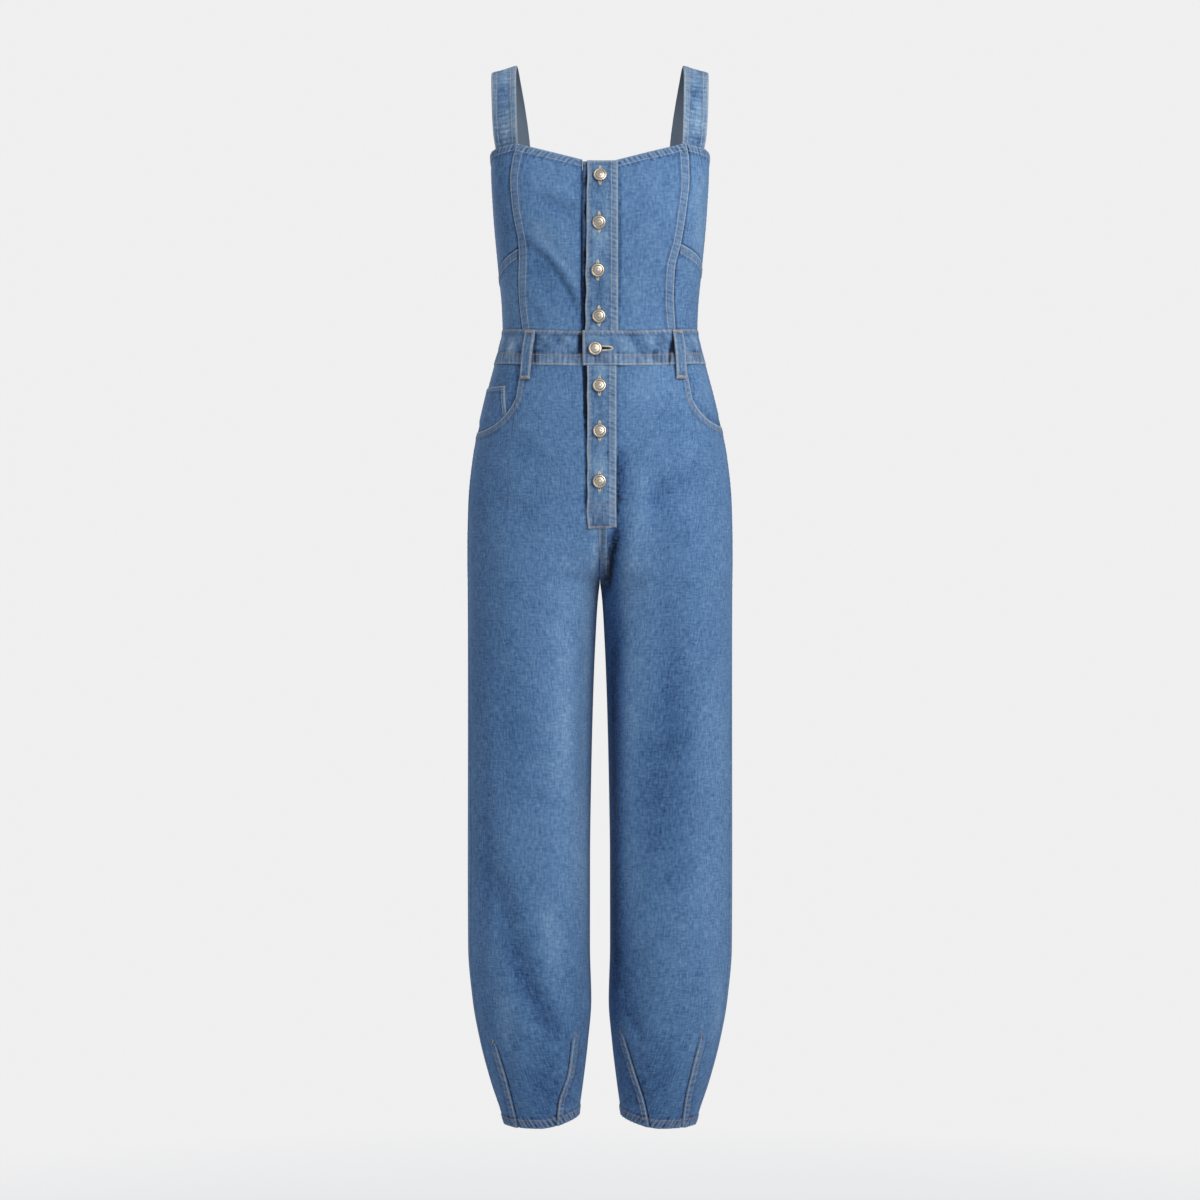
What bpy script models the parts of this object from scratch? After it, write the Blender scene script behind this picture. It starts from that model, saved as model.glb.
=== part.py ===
"""Denim jumpsuit with shoulder straps, a buttoned front and tapered legs.

The garment stands filled out as if worn. Every panel is a thin wall lofted on one smooth
hollow form: a ring of cloth round the torso that forks into two leg rings at the crotch.
Units are metres, +Z is up, the front faces -Y and the wearer's left is +X.
The origin is where the shoulders hold the straps, midway between the two strap tops.
"""

import math

import bpy
import numpy as np

# Cloth and seams
CLOTH = 0.0015
BAND_CLOTH = 0.0022
SEAM_GAP = 0.0003
HALF_GAP = 0.5 * SEAM_GAP
LAYER = CLOTH + SEAM_GAP
BAND_LAYER = BAND_CLOTH + SEAM_GAP
LOOSE_GAP = 0.0006
FACING_GAP = 0.0009
FACING_REACH = 0.0080
SEAM_RAISE = 0.0007
HEM_RAISE = 0.0008
DART_RAISE = 0.0009

# Heights of the main seams at the side of the body
WAIST_SEAM = -0.3294
WAIST_FRONT_DROP = 0.0072
WAIST_BACK_RISE = 0.0030
WAISTBAND_HEIGHT = 0.0440
HEM_HEIGHT = -1.3345
HEM_INNER_RISE = 0.0105
HEM_RISE_POWER = 1.5
HEM_BAND = 0.0120
HEM_STEP = 0.0012
SEAT_HEIGHT = -0.6200
LEG_TOP = WAIST_SEAM - WAIST_FRONT_DROP - WAISTBAND_HEIGHT
LEG_FOOT = HEM_HEIGHT + HEM_INNER_RISE

# Heights at which an edge is read that is set by an angle alone
TOP_EDGE_LEVEL = -0.11
PRINCESS_LEVEL = -0.24

# Button band: distances across the body from the centre front
BAND_FREE_EDGE = -0.0161
BAND_SEWN_EDGE = 0.0222
UNDERLAY_EDGE = -0.0215
LEFT_FRONT_EDGE = 0.0125
FLY_SEWN_EDGE = 0.0203
LAP_START = 0.0400
LAP_FULL = 0.0185
FLY_FOOT = -0.5820
FLY_UNDER_FOOT = -0.5460

# One row for each height. outer and inner are where the ring of cloth ends sideways, and an
# inner edge of minus outer is a ring round the whole torso. front, back and middle are depths,
# and square is the power of the section curve: 1 is an ellipse, less is boxier.
SECTION_COLUMNS = ("height", "outer", "inner", "front", "back", "middle", "square")
SECTIONS = (
    (-0.080, 0.1380, -0.1380, -0.0870, 0.0840, 0.002, 0.46),
    (-0.125, 0.1378, -0.1378, -0.0980, 0.0910, 0.002, 0.50),
    (-0.185, 0.1347, -0.1347, -0.1130, 0.0970, 0.001, 0.62),
    (-0.250, 0.1288, -0.1288, -0.1040, 0.0900, 0.000, 0.74),
    (-0.300, 0.1240, -0.1240, -0.0960, 0.0820, 0.000, 0.82),
    (-0.328, 0.1230, -0.1230, -0.0940, 0.0800, 0.000, 0.84),
    (-0.354, 0.1283, -0.1283, -0.0960, 0.0850, 0.000, 0.85),
    (-0.380, 0.1353, -0.1353, -0.0990, 0.0930, 0.001, 0.85),
    (-0.430, 0.1483, -0.1483, -0.1060, 0.1070, 0.002, 0.86),
    (-0.490, 0.1612, -0.1612, -0.1100, 0.1180, 0.003, 0.87),
    (-0.545, 0.1672, -0.1672, -0.1100, 0.1190, 0.004, 0.88),
    (-0.572, 0.1680, -0.1060, -0.1090, 0.1170, 0.004, 0.89),
    (-0.598, 0.1684, -0.0560, -0.1070, 0.1130, 0.004, 0.90),
    (-0.625, 0.1684, -0.0235, -0.1040, 0.1080, 0.003, 0.91),
    (-0.651, 0.1680, 0.0004, -0.1010, 0.1040, 0.003, 0.92),
    (-0.722, 0.1678, 0.0057, -0.0960, 0.0970, 0.002, 0.92),
    (-0.800, 0.1677, 0.0088, -0.0920, 0.0920, 0.001, 0.92),
    (-0.900, 0.1678, 0.0112, -0.0880, 0.0890, 0.002, 0.92),
    (-1.000, 0.1680, 0.0126, -0.0860, 0.0900, 0.004, 0.92),
    (-1.110, 0.1676, 0.0127, -0.0840, 0.0890, 0.004, 0.93),
    (-1.179, 0.1618, 0.0110, -0.0790, 0.0850, 0.004, 0.93),
    (-1.230, 0.1525, 0.0150, -0.0720, 0.0780, 0.003, 0.94),
    (-1.281, 0.1390, 0.0210, -0.0620, 0.0670, 0.002, 0.95),
    (-1.318, 0.1265, 0.0260, -0.0540, 0.0580, 0.001, 0.96),
    (-1.345, 0.1185, 0.0290, -0.0500, 0.0540, 0.001, 0.97),
)

# Top edge of the bodice, read across the front and across the back
TOP_COLUMNS = ("across", "height")
TOP_FRONT = ((0.000, -0.1266), (0.016, -0.1266), (0.104, -0.1030), (0.131, -0.1068), (0.138, -0.1095))
TOP_BACK = ((0.000, -0.1150), (0.085, -0.1120), (0.138, -0.1095))

# Princess seams: how far from the centre front each one runs
PRINCESS_COLUMNS = ("height", "wearer_left", "wearer_right")
PRINCESS = (
    (-0.100, 0.1060, 0.1010),
    (-0.120, 0.1108, 0.1088),
    (-0.147, 0.1115, 0.1120),
    (-0.182, 0.1080, 0.1095),
    (-0.222, 0.1021, 0.1030),
    (-0.260, 0.0935, 0.1013),
    (-0.290, 0.0925, 0.1010),
    (-0.336, 0.0946, 0.0966),
)

# Side seams of the trousers: how far round to the front each one lies, in degrees
SIDE_SEAM_COLUMNS = ("height", "angle")
SIDE_SEAM = ((-0.370, 0.0), (-0.450, 4.0), (-0.700, 10.0), (-1.000, 17.0), (-1.200, 15.0), (-1.340, 12.0))

# Side panels: the cross seam slopes down from the princess seam to the side seam
CROSS_COLUMNS = ("side", "at_princess", "at_side")
CROSS_SEAMS = (("l", -0.2270, -0.2500), ("r", -0.2335, -0.2610))

# Rows and columns of the bodice's panels and of the waistband, as shares of each panel.
# The first two rows carry a raised hem or seam, and so do the columns marked 1.
SIDE_UPPER_ROWS = (0.0, 0.080, 0.094, 0.25, 0.42, 0.60, 0.80, 0.93, 1.0)
SIDE_LOWER_ROWS = (0.0, 0.090, 0.110, 0.35, 0.60, 0.85, 1.0)
SIDE_PANEL_SHARES = (0.0, 0.08, 0.25, 0.45, 0.65, 0.85, 0.96, 1.0)
BODICE_BACK_ROWS = (0.0, 0.050, 0.060, 0.16, 0.28, 0.40, 0.52, 0.64, 0.76, 0.88, 1.0)
BACK_COLUMNS = 17
BACK_EDGE_SHARE = 0.012
RAISED_ROWS = 2
FRONT_COLUMN_NAMES = ("share", "raised")
FRONT_COLUMNS = (
    (0.00, 1), (0.08, 1), (0.10, 0), (0.25, 0), (0.42, 0), (0.60, 0), (0.80, 0), (0.94, 0), (1.00, 0),
)
WAISTBAND_ROWS = (0.0, 0.12, 0.5, 0.88, 1.0)
WAISTBAND_SHARES = (0.0, 0.02, 0.14, 0.28, 0.42, 0.54, 0.65, 0.757, 0.845, 0.92, 1.0)
BAND_ROWS = 14
BAND_COLUMNS = 4

# Scooped pocket mouths: a quarter ellipse from the waistband out to the side seam
SCOOP_COLUMNS = ("side", "inner_x", "outer_x", "lowest")
SCOOPS = (("l", 0.1055, 0.1580, -0.4520), ("r", 0.0965, 0.1580, -0.4590))

# Largest folds: soft troughs (depth over zero) and ridges (under zero) along a line on one leg.
# face is 1 on the front and -1 on the back.
FOLD_COLUMNS = ("side", "face", "x_1", "z_1", "x_2", "z_2", "width", "depth")
FOLDS = (
    ("r", 1, 0.134, -0.990, 0.056, -1.205, 0.018, 0.0055),
    ("r", 1, 0.040, -0.730, 0.048, -1.080, 0.020, -0.0035),
    ("r", 1, 0.016, -0.690, 0.019, -0.960, 0.012, 0.0030),
    ("r", 1, 0.120, -0.700, 0.110, -0.930, 0.024, 0.0030),
    ("l", 1, 0.088, -0.660, 0.084, -1.010, 0.026, 0.0050),
    ("l", 1, 0.032, -0.700, 0.026, -1.090, 0.012, -0.0045),
    ("l", 1, 0.140, -0.780, 0.128, -1.120, 0.022, -0.0030),
    ("l", 1, 0.040, -1.110, 0.070, -1.200, 0.018, 0.0030),
    ("r", -1, 0.100, -0.560, 0.060, -0.700, 0.022, 0.0055),
    ("r", -1, 0.080, -0.900, 0.110, -1.140, 0.022, 0.0045),
    ("l", -1, 0.096, -0.570, 0.054, -0.690, 0.024, 0.0050),
    ("l", -1, 0.070, -0.860, 0.104, -1.100, 0.024, 0.0050),
)
FOLD_FACE_DEPTH = 0.04

# Rows down a trouser leg: how far apart they are down to each height
LEG_ROW_COLUMNS = ("down_to", "apart")
LEG_ROWS = ((SEAT_HEIGHT, 0.030), (-0.7300, 0.028), (-1.1500, 0.060), (-1.3050, 0.031))
LEG_BACK_COLUMNS = 13
LEG_BACK_SEAM_SHARES = (0.025, 0.97)

# Pocket facings, and the coin pocket on the right one
FACING_SHARES = (0.0, 0.12, 0.28, 0.44, 0.60, 0.74, 0.87, 1.0)
FACING_ROWS = (0.0, 0.15, 0.32, 0.50, 0.68, 0.84, 1.0)
COIN_POCKET_TOP = -0.4035
COIN_POCKET_INNER_X = 0.1180
COIN_POCKET_LEAST = 0.0120
COIN_POCKET_FROM_SEAM = 3.0
COIN_SHARES = (0.0, 0.20, 0.40, 0.60, 0.80, 1.0)
COIN_ROWS = (0.0, 0.10, 0.40, 0.70, 1.0)

# Trouser front columns, as shares of the way round from the side seam to the front edge: along
# the pocket mouth, at the top of the darts and at the hem. dart is 1 on a raised dart strip.
LEG_FRONT_COLUMNS = ("mouth", "dart_top", "hem", "dart")
LEG_FRONT = (
    (0.000, 0.000, 0.000, 0),
    (0.050, 0.030, 0.030, 0),
    (0.150, 0.110, 0.110, 0),
    (0.250, 0.180, 0.186, 0),
    (0.290, 0.190, 0.196, 1),
    (0.350, 0.214, 0.238, 1),
    (0.400, 0.224, 0.250, 0),
    (0.445, 0.310, 0.310, 0),
    (0.480, 0.400, 0.390, 0),
    (0.510, 0.490, 0.470, 0),
    (0.580, 0.580, 0.540, 0),
    (0.650, 0.660, 0.596, 0),
    (0.720, 0.714, 0.608, 1),
    (0.790, 0.734, 0.650, 1),
    (0.860, 0.744, 0.662, 0),
    (0.920, 0.830, 0.780, 0),
    (0.965, 0.930, 0.900, 0),
    (1.000, 1.000, 1.000, 0),
)
DART_TOP_SHARE = 0.88
DART_FOOT_SHARE = 0.99

# Straps: the two long edges over the shoulder, between the rows that lie inside the bodice
STRAP_COLUMNS = ("z", "inner_x", "inner_y", "outer_x", "outer_y", "lean")
STRAP_ARCH = (
    (-0.0900, 0.1036, -0.0800, 0.1335, -0.0590, 0.000),
    (-0.0650, 0.1045, -0.0775, 0.1352, -0.0590, 0.000),
    (-0.0330, 0.1052, -0.0660, 0.1362, -0.0560, 0.001),
    (-0.0075, 0.1055, -0.0400, 0.1368, -0.0370, 0.003),
    (0.0018, 0.1050, 0.0000, 0.1365, 0.0000, 0.005),
    (-0.0095, 0.1020, 0.0420, 0.1335, 0.0390, 0.003),
    (-0.0370, 0.0970, 0.0680, 0.1285, 0.0600, 0.001),
    (-0.0700, 0.0925, 0.0790, 0.1240, 0.0670, 0.000),
    (-0.0980, 0.0900, 0.0820, 0.1210, 0.0690, 0.000),
)
STRAP_CLOTH = 0.0018
STRAP_TUCK = (0.0040, 0.0160)
STRAP_FRONT_FOOT = (0.1035, 0.1320)
STRAP_BACK_FOOT = (0.0890, 0.1200)
STRAP_ROWS = 27
STRAP_SHARES = (0.0, 0.33, 0.67, 1.0)

# Belt loops: centre line at the top and bottom end, and how far the middle stands off
LOOP_COLUMNS = ("name", "side", "face", "top_x", "bottom_x", "stand_off")
BELT_LOOPS = (
    ("belt_loop_front_r", "r", 1, 0.0855, 0.0925, 0.0020),
    ("belt_loop_front_l", "l", 1, 0.0950, 0.1000, 0.0028),
    ("belt_loop_back_l", "l", -1, 0.0850, 0.0850, 0.0020),
    ("belt_loop_back_r", "r", -1, 0.0850, 0.0850, 0.0020),
    ("belt_loop_back_centre", "l", -1, 0.0000, 0.0000, 0.0020),
)
LOOP_WIDTH = 0.0120
LOOP_ROWS = (0.0, 0.07, 0.16, 0.30, 0.50, 0.70, 0.84, 0.93, 1.0)
LOOP_SHARES = (0.5, 0.17, -0.17, -0.5)
LOOP_ARCH_POWER = 0.7
LOOP_TOP_ABOVE_BAND = -0.0012
LOOP_BOTTOM_BELOW_BAND = 0.0190

# Buttons: one turned dome, and the place of each on the band
BUTTON_PROFILE = (
    (0.0000, 0.0052), (0.0032, 0.0051), (0.0058, 0.0046), (0.0062, 0.0041), (0.0078, 0.0036),
    (0.0086, 0.0026), (0.0082, 0.0019), (0.0036, 0.0018), (0.0030, 0.0000), (0.0000, 0.0000),
)
BUTTON_SIDES = 12
BUTTON_TILT_REACH = 0.01
BUTTON_COLUMNS = ("x", "z", "band")
BUTTONS = (
    (0.0000, -0.1463, "bodice"),
    (-0.0012, -0.2037, "bodice"),
    (-0.0030, -0.2619, "bodice"),
    (-0.0014, -0.3185, "bodice"),
    (-0.0062, -0.3598, "waistband"),
    (-0.0008, -0.4060, "fly"),
    (-0.0005, -0.4622, "fly"),
    (-0.0008, -0.5243, "fly"),
)
BAND_LIFTS = {
    "bodice": CLOTH + LOOSE_GAP + HEM_RAISE,
    "waistband": BAND_CLOTH + LOOSE_GAP + HEM_RAISE,
    "fly": CLOTH + LOOSE_GAP,
}

DENIM_MID = (0.107, 0.212, 0.371)
DENIM_LIGHT = (0.135, 0.235, 0.375)
DENIM_DARK = (0.070, 0.150, 0.290)
OLD_BRASS = (0.420, 0.340, 0.220)
CLOTH_ROUGHNESS = 0.85
BRASS_ROUGHNESS = 0.35

SIDES = {"l": 1.0, "r": -1.0}
TINY = 1.0e-9
NORMAL_STEP = 0.0004
ANGLE_STEP = 0.002
MERGE_DISTANCE = 0.00001
ROUNDS = 12


def clear_scene():
    """Start from an empty scene."""
    for thing in list(bpy.data.objects):
        bpy.data.objects.remove(thing, do_unlink=True)


def row_of(table, columns, key):
    """Find one table row by its first column and give it as a dictionary."""
    for row in table:
        if row[0] == key:
            return dict(zip(columns, row))
    raise KeyError(key)


def read_table(table, columns, name, where):
    """Read one column of a table at heights or distances, in straight lines between its rows."""
    rows = sorted(table)
    keys = [row[0] for row in rows]
    values = [row[columns.index(name)] for row in rows]
    return np.interp(where, keys, values)


def smooth_slopes(keys, values):
    """Slopes of a curve through the rows that never swings past a row's value."""
    steps = np.diff(values) / np.diff(keys)
    before = steps[:-1]
    after = steps[1:]
    same_way = before * after > 0.0
    inner = np.where(same_way, 2.0 * before * after / np.where(same_way, before + after, 1.0), 0.0)
    return np.concatenate(([steps[0]], inner, [steps[-1]]))


def smooth_read(table, columns, name, height):
    """Read one column of a table at any height, along a smooth curve through its rows."""
    rows = sorted(table)
    keys = np.array([row[0] for row in rows])
    values = np.array([row[columns.index(name)] for row in rows])
    slopes = smooth_slopes(keys, values)
    height = np.clip(height, keys[0], keys[-1])
    index = np.clip(np.searchsorted(keys, height) - 1, 0, len(keys) - 2)
    span = keys[index + 1] - keys[index]
    t = (height - keys[index]) / span
    rise = values[index + 1] - values[index]
    start = slopes[index] * span
    end = slopes[index + 1] * span
    return values[index] + t * (start + t * (3 * rise - 2 * start - end + t * (start + end - 2 * rise)))


def section(name, height):
    """Read one column of SECTIONS at any height."""
    return smooth_read(SECTIONS, SECTION_COLUMNS, name, height)


def ring_point(angle, height):
    """Point of the +X half's ring: angle 0 is the outer side, 90 degrees faces the front."""
    outer = section("outer", height)
    inner = section("inner", height)
    power = section("square", height)
    middle = section("middle", height)
    cosine = np.cos(angle)
    sine = np.sin(angle)
    x = 0.5 * (outer + inner) + 0.5 * (outer - inner) * np.sign(cosine) * np.abs(cosine) ** power
    depth = np.where(sine > 0.0, middle - section("front", height), section("back", height) - middle)
    y = middle - np.sign(sine) * depth * np.abs(sine) ** power
    return np.stack(np.broadcast_arrays(x, y, height), axis=-1)


def angle_at(x, height, face=1.0):
    """Angle on the +X half's ring that lies at this x, on the front (1) or the back (-1)."""
    outer = section("outer", height)
    inner = section("inner", height)
    share = np.clip((x - 0.5 * (outer + inner)) / (0.5 * (outer - inner)), -1.0, 1.0)
    cosine = np.sign(share) * np.abs(share) ** (1.0 / section("square", height))
    return face * np.arccos(cosine)


def outward(angle, height):
    """Unit normal of the +X half's ring, from the directions round the ring and upwards."""
    round_ring = ring_point(angle + NORMAL_STEP, height) - ring_point(angle - NORMAL_STEP, height)
    upwards = ring_point(angle, height + NORMAL_STEP) - ring_point(angle, height - NORMAL_STEP)
    normal = np.cross(upwards, round_ring)
    return normal / np.maximum(np.linalg.norm(normal, axis=-1, keepdims=True), TINY)


def fold_push(side, points):
    """How far the folds move each point outwards: a bell-shaped trough along each fold's line."""
    push = np.zeros(points.shape[:-1])
    x = np.abs(points[..., 0])
    y = points[..., 1]
    z = points[..., 2]
    for fold in FOLDS:
        row = dict(zip(FOLD_COLUMNS, fold))
        if SIDES[row["side"]] != side:
            continue
        along = np.array((row["x_2"] - row["x_1"], row["z_2"] - row["z_1"]))
        length = np.linalg.norm(along)
        along = along / length
        t = ((x - row["x_1"]) * along[0] + (z - row["z_1"]) * along[1]) / length
        across = (x - row["x_1"]) * along[1] - (z - row["z_1"]) * along[0]
        ends = np.exp(-((2.0 * t - 1.0) ** 4))
        facing = np.clip(-row["face"] * y / FOLD_FACE_DEPTH, 0.0, 1.0)
        push -= row["depth"] * np.exp(-((across / row["width"]) ** 2)) * ends * facing
    return push


def on_body(side, angle, height, lift=0.0):
    """Points of the garment's outer surface on one half, lifted outwards along the normal."""
    angle, height = np.broadcast_arrays(angle, height)
    mirror = np.array((side, 1.0, 1.0))
    base = ring_point(angle, height) * mirror
    normal = outward(angle, height) * mirror
    return base + normal * (lift + fold_push(side, base))[..., None]


def on_front(x, height, lift=0.0):
    """Points near the centre front by their real x, on whichever half they fall."""
    x, height, lift = np.broadcast_arrays(x, height, lift)
    left = on_body(1.0, angle_at(np.abs(x), height), height, lift)
    right = on_body(-1.0, angle_at(np.abs(x), height), height, lift)
    return np.where((x < 0.0)[..., None], right, left)


def top_edge(angle):
    """Height of the bodice's top edge, by the distance across the front or the back."""
    across = np.abs(ring_point(angle, np.full_like(angle, TOP_EDGE_LEVEL))[..., 0])
    front = read_table(TOP_FRONT, TOP_COLUMNS, "height", across)
    back = read_table(TOP_BACK, TOP_COLUMNS, "height", across)
    return np.where(np.sin(angle) > 0.0, front, back)


def waist_seam(angle):
    """Height of the waist seam: level at the sides, lower in front and higher behind."""
    front = np.maximum(np.sin(angle), 0.0)
    back = np.minimum(np.sin(angle), 0.0)
    return WAIST_SEAM - WAIST_FRONT_DROP * front**2 + WAIST_BACK_RISE * back**2


def waistband_foot(angle):
    """Height of the lower edge of the waistband."""
    return waist_seam(angle) - WAISTBAND_HEIGHT


def hem_edge(angle):
    """Height of the trouser hem, a little higher on the inside of the leg."""
    return HEM_HEIGHT + HEM_INNER_RISE * np.maximum(-np.cos(angle), 0.0) ** HEM_RISE_POWER


def princess_angle(side, height, gap=0.0):
    """Angle of the princess seam on one half, moved round to the front by a gap."""
    name = "wearer_left" if side > 0.0 else "wearer_right"
    across = smooth_read(PRINCESS, PRINCESS_COLUMNS, name, height)
    return step_round(angle_at(across, height), height, gap)


def side_seam_angle(height, gap=0.0):
    """Angle of the trouser side seam, moved round to the front by a gap."""
    angle = np.radians(smooth_read(SIDE_SEAM, SIDE_SEAM_COLUMNS, "angle", height))
    return step_round(angle, height, gap)


def step_round(angle, height, distance):
    """Angle that lies this far round the ring from another one."""
    ahead = ring_point(angle + ANGLE_STEP, height) - ring_point(angle - ANGLE_STEP, height)
    speed = np.linalg.norm(ahead, axis=-1) / (2.0 * ANGLE_STEP)
    return angle + distance / speed


def edge_gap_angle(height):
    """Small angle beside the side line or the inner leg that is half a gap in depth."""
    depth = section("middle", height) - section("front", height)
    return np.arcsin((HALF_GAP / depth) ** (1.0 / section("square", height)))


def centre_angle(x, height):
    """Angle of an edge at this x above the crotch, and of the inner leg seam below it."""
    return np.minimum(angle_at(x, height), math.pi - edge_gap_angle(height))


def cross_seam(side, share):
    """Height of a side panel's cross seam, by the share of the way from side to princess seam."""
    row = row_of(CROSS_SEAMS, CROSS_COLUMNS, "l" if side > 0.0 else "r")
    return row["at_side"] + (row["at_princess"] - row["at_side"]) * share


def scoop_of(side):
    """The pocket mouth's row for one half."""
    return row_of(SCOOPS, SCOOP_COLUMNS, "l" if side > 0.0 else "r")


def scoop_edge(side, x, angle):
    """Height of the trouser front's top edge: the waistband, then the scooped pocket mouth."""
    scoop = scoop_of(side)
    foot = waistband_foot(angle)
    share = np.clip((scoop["outer_x"] - x) / (scoop["outer_x"] - scoop["inner_x"]), 0.0, 1.0)
    return foot - (foot - scoop["lowest"]) * np.sqrt(1.0 - share**2)


def grid_between(
    start, end, tops, bottoms, top_share, rows, middle_share=None, bottom_share=None, seat_share=None
):
    """Angles and heights of a panel's grid.

    start and end give the angle of the panel's two long edges at any height, tops and bottoms
    the height of its ends at a column's angle. Rows run down, columns run round the ring.
    With seat_share, the row at that share lies level at the seat, so that two panels of
    different tops share their rows below it.
    """
    top_share = np.asarray(top_share, float)
    bottom_share = top_share if bottom_share is None else np.asarray(bottom_share, float)
    middle_share = bottom_share if middle_share is None else np.asarray(middle_share, float)
    high = np.full_like(top_share, WAIST_SEAM)
    low = np.full_like(top_share, SEAT_HEIGHT)
    for _ in range(ROUNDS):
        high = tops(start(high) + top_share * (end(high) - start(high)))
        low = bottoms(start(low) + bottom_share * (end(low) - start(low)))
    down = np.asarray(rows, float)[:, None]
    if seat_share is None:
        height = high + down * (low - high)
    else:
        above = high + down / seat_share * (SEAT_HEIGHT - high)
        below = SEAT_HEIGHT + (down - seat_share) / (1.0 - seat_share) * (low - SEAT_HEIGHT)
        height = np.where(down < seat_share, above, below)
    to_middle = np.clip(down / DART_TOP_SHARE, 0.0, 1.0)
    to_hem = np.clip((down - DART_TOP_SHARE) / (1.0 - DART_TOP_SHARE), 0.0, 1.0)
    share = top_share + to_middle * (middle_share - top_share) + to_hem * (bottom_share - middle_share)
    return start(height) + share * (end(height) - start(height)), height


def add_material(name, colour, roughness, metallic=0.0):
    """One Principled material for one sub-part."""
    material = bpy.data.materials.new(name)
    material.use_nodes = True
    shader = material.node_tree.nodes["Principled BSDF"]
    shader.inputs["Base Color"].default_value = (*colour, 1.0)
    shader.inputs["Roughness"].default_value = roughness
    shader.inputs["Metallic"].default_value = metallic
    return material


def add_wall(name, points, collection, colour=DENIM_MID, thickness=CLOTH, flip=False):
    """Make a grid of outer points an open surface, and give it its thickness inwards."""
    rows, columns = points.shape[:2]
    index = np.arange(rows * columns).reshape(rows, columns)
    corners = (index[:-1, :-1], index[:-1, 1:], index[1:, 1:], index[1:, :-1])
    faces = np.stack([corner.ravel() for corner in corners], axis=1)
    if flip:
        faces = faces[:, ::-1]
    mesh = bpy.data.meshes.new(name)
    mesh.from_pydata(points.reshape(-1, 3).tolist(), [], faces.tolist())
    mesh.update()
    mesh.shade_smooth()
    panel = bpy.data.objects.new(name, mesh)
    collection.objects.link(panel)
    wall = panel.modifiers.new("Wall", "SOLIDIFY")
    wall.thickness = thickness
    wall.offset = -1.0
    mesh.materials.append(add_material(name, colour, CLOTH_ROUGHNESS))
    return panel


def princess_rows(side):
    """Rows of a centre front that meet the two side panels' rows along the princess seam."""
    angle = princess_angle(side, np.array([PRINCESS_LEVEL]))
    top = top_edge(angle)[0]
    cross = cross_seam(side, 1.0)
    share = (top - cross) / (top - waist_seam(angle)[0])
    upper = np.array(SIDE_UPPER_ROWS) * share
    lower = share + np.array(SIDE_LOWER_ROWS) * (1.0 - share)
    return np.concatenate((upper, lower[1:]))


def raised_rows(count, raise_by):
    """How far each of a panel's rows is raised: the first ones carry a hem or a seam."""
    return np.where(np.arange(count) < RAISED_ROWS, raise_by, 0.0)[:, None]


def add_bodice_front(letter, collection):
    """Centre front from the princess seam to the buttoned edge, with a raised seam strip."""
    side = SIDES[letter]
    edge = LEFT_FRONT_EDGE if side > 0.0 else -UNDERLAY_EDGE + SEAM_GAP
    columns = [dict(zip(FRONT_COLUMN_NAMES, column)) for column in FRONT_COLUMNS]
    rows = princess_rows(side)
    angle, height = grid_between(
        lambda z: princess_angle(side, z, HALF_GAP),
        lambda z: angle_at(edge, z),
        top_edge,
        lambda a: waist_seam(a) + HALF_GAP,
        [column["share"] for column in columns],
        rows,
    )
    seam = np.array([column["raised"] for column in columns]) * SEAM_RAISE
    hem = raised_rows(len(rows), HEM_RAISE)
    points = on_body(side, angle, height, np.maximum(seam, hem))
    return add_wall("bodice_front_" + letter, points, collection, flip=side < 0.0)


def add_side_panels(letter, collection):
    """Side panels from the side seam to the princess seam, above and below the cross seam."""
    side = SIDES[letter]

    def end(z):
        return princess_angle(side, z, -HALF_GAP)

    def share_of(angle):
        return np.clip(angle / princess_angle(side, np.full_like(angle, PRINCESS_LEVEL)), 0.0, 1.0)

    angle, height = grid_between(
        edge_gap_angle,
        end,
        top_edge,
        lambda a: cross_seam(side, share_of(a)) + HALF_GAP,
        SIDE_PANEL_SHARES,
        SIDE_UPPER_ROWS,
    )
    upper = on_body(side, angle, height, raised_rows(len(SIDE_UPPER_ROWS), HEM_RAISE))
    add_wall("side_upper_" + letter, upper, collection, flip=side < 0.0)

    angle, height = grid_between(
        edge_gap_angle,
        end,
        lambda a: cross_seam(side, share_of(a)) - HALF_GAP,
        lambda a: waist_seam(a) + HALF_GAP,
        SIDE_PANEL_SHARES,
        SIDE_LOWER_ROWS,
    )
    lower = on_body(side, angle, height, raised_rows(len(SIDE_LOWER_ROWS), SEAM_RAISE))
    add_wall("side_lower_" + letter, lower, collection, flip=side < 0.0)


def back_shares():
    """Even shares of the way round the back, with a narrow column beside each side seam."""
    even = np.linspace(0.0, 1.0, BACK_COLUMNS)
    return np.concatenate(([0.0, BACK_EDGE_SHARE], even[1:-1], [1.0 - BACK_EDGE_SHARE, 1.0]))


def add_bodice_back(collection):
    """Back of the bodice, from one side seam round to the other."""
    angle, height = grid_between(
        lambda z: -edge_gap_angle(z),
        lambda z: -math.pi + edge_gap_angle(z),
        top_edge,
        lambda a: waist_seam(a) + HALF_GAP,
        back_shares(),
        BODICE_BACK_ROWS,
    )
    points = on_body(1.0, angle, height, raised_rows(len(BODICE_BACK_ROWS), HEM_RAISE))
    add_wall("bodice_back", points, collection, flip=True)


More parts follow.
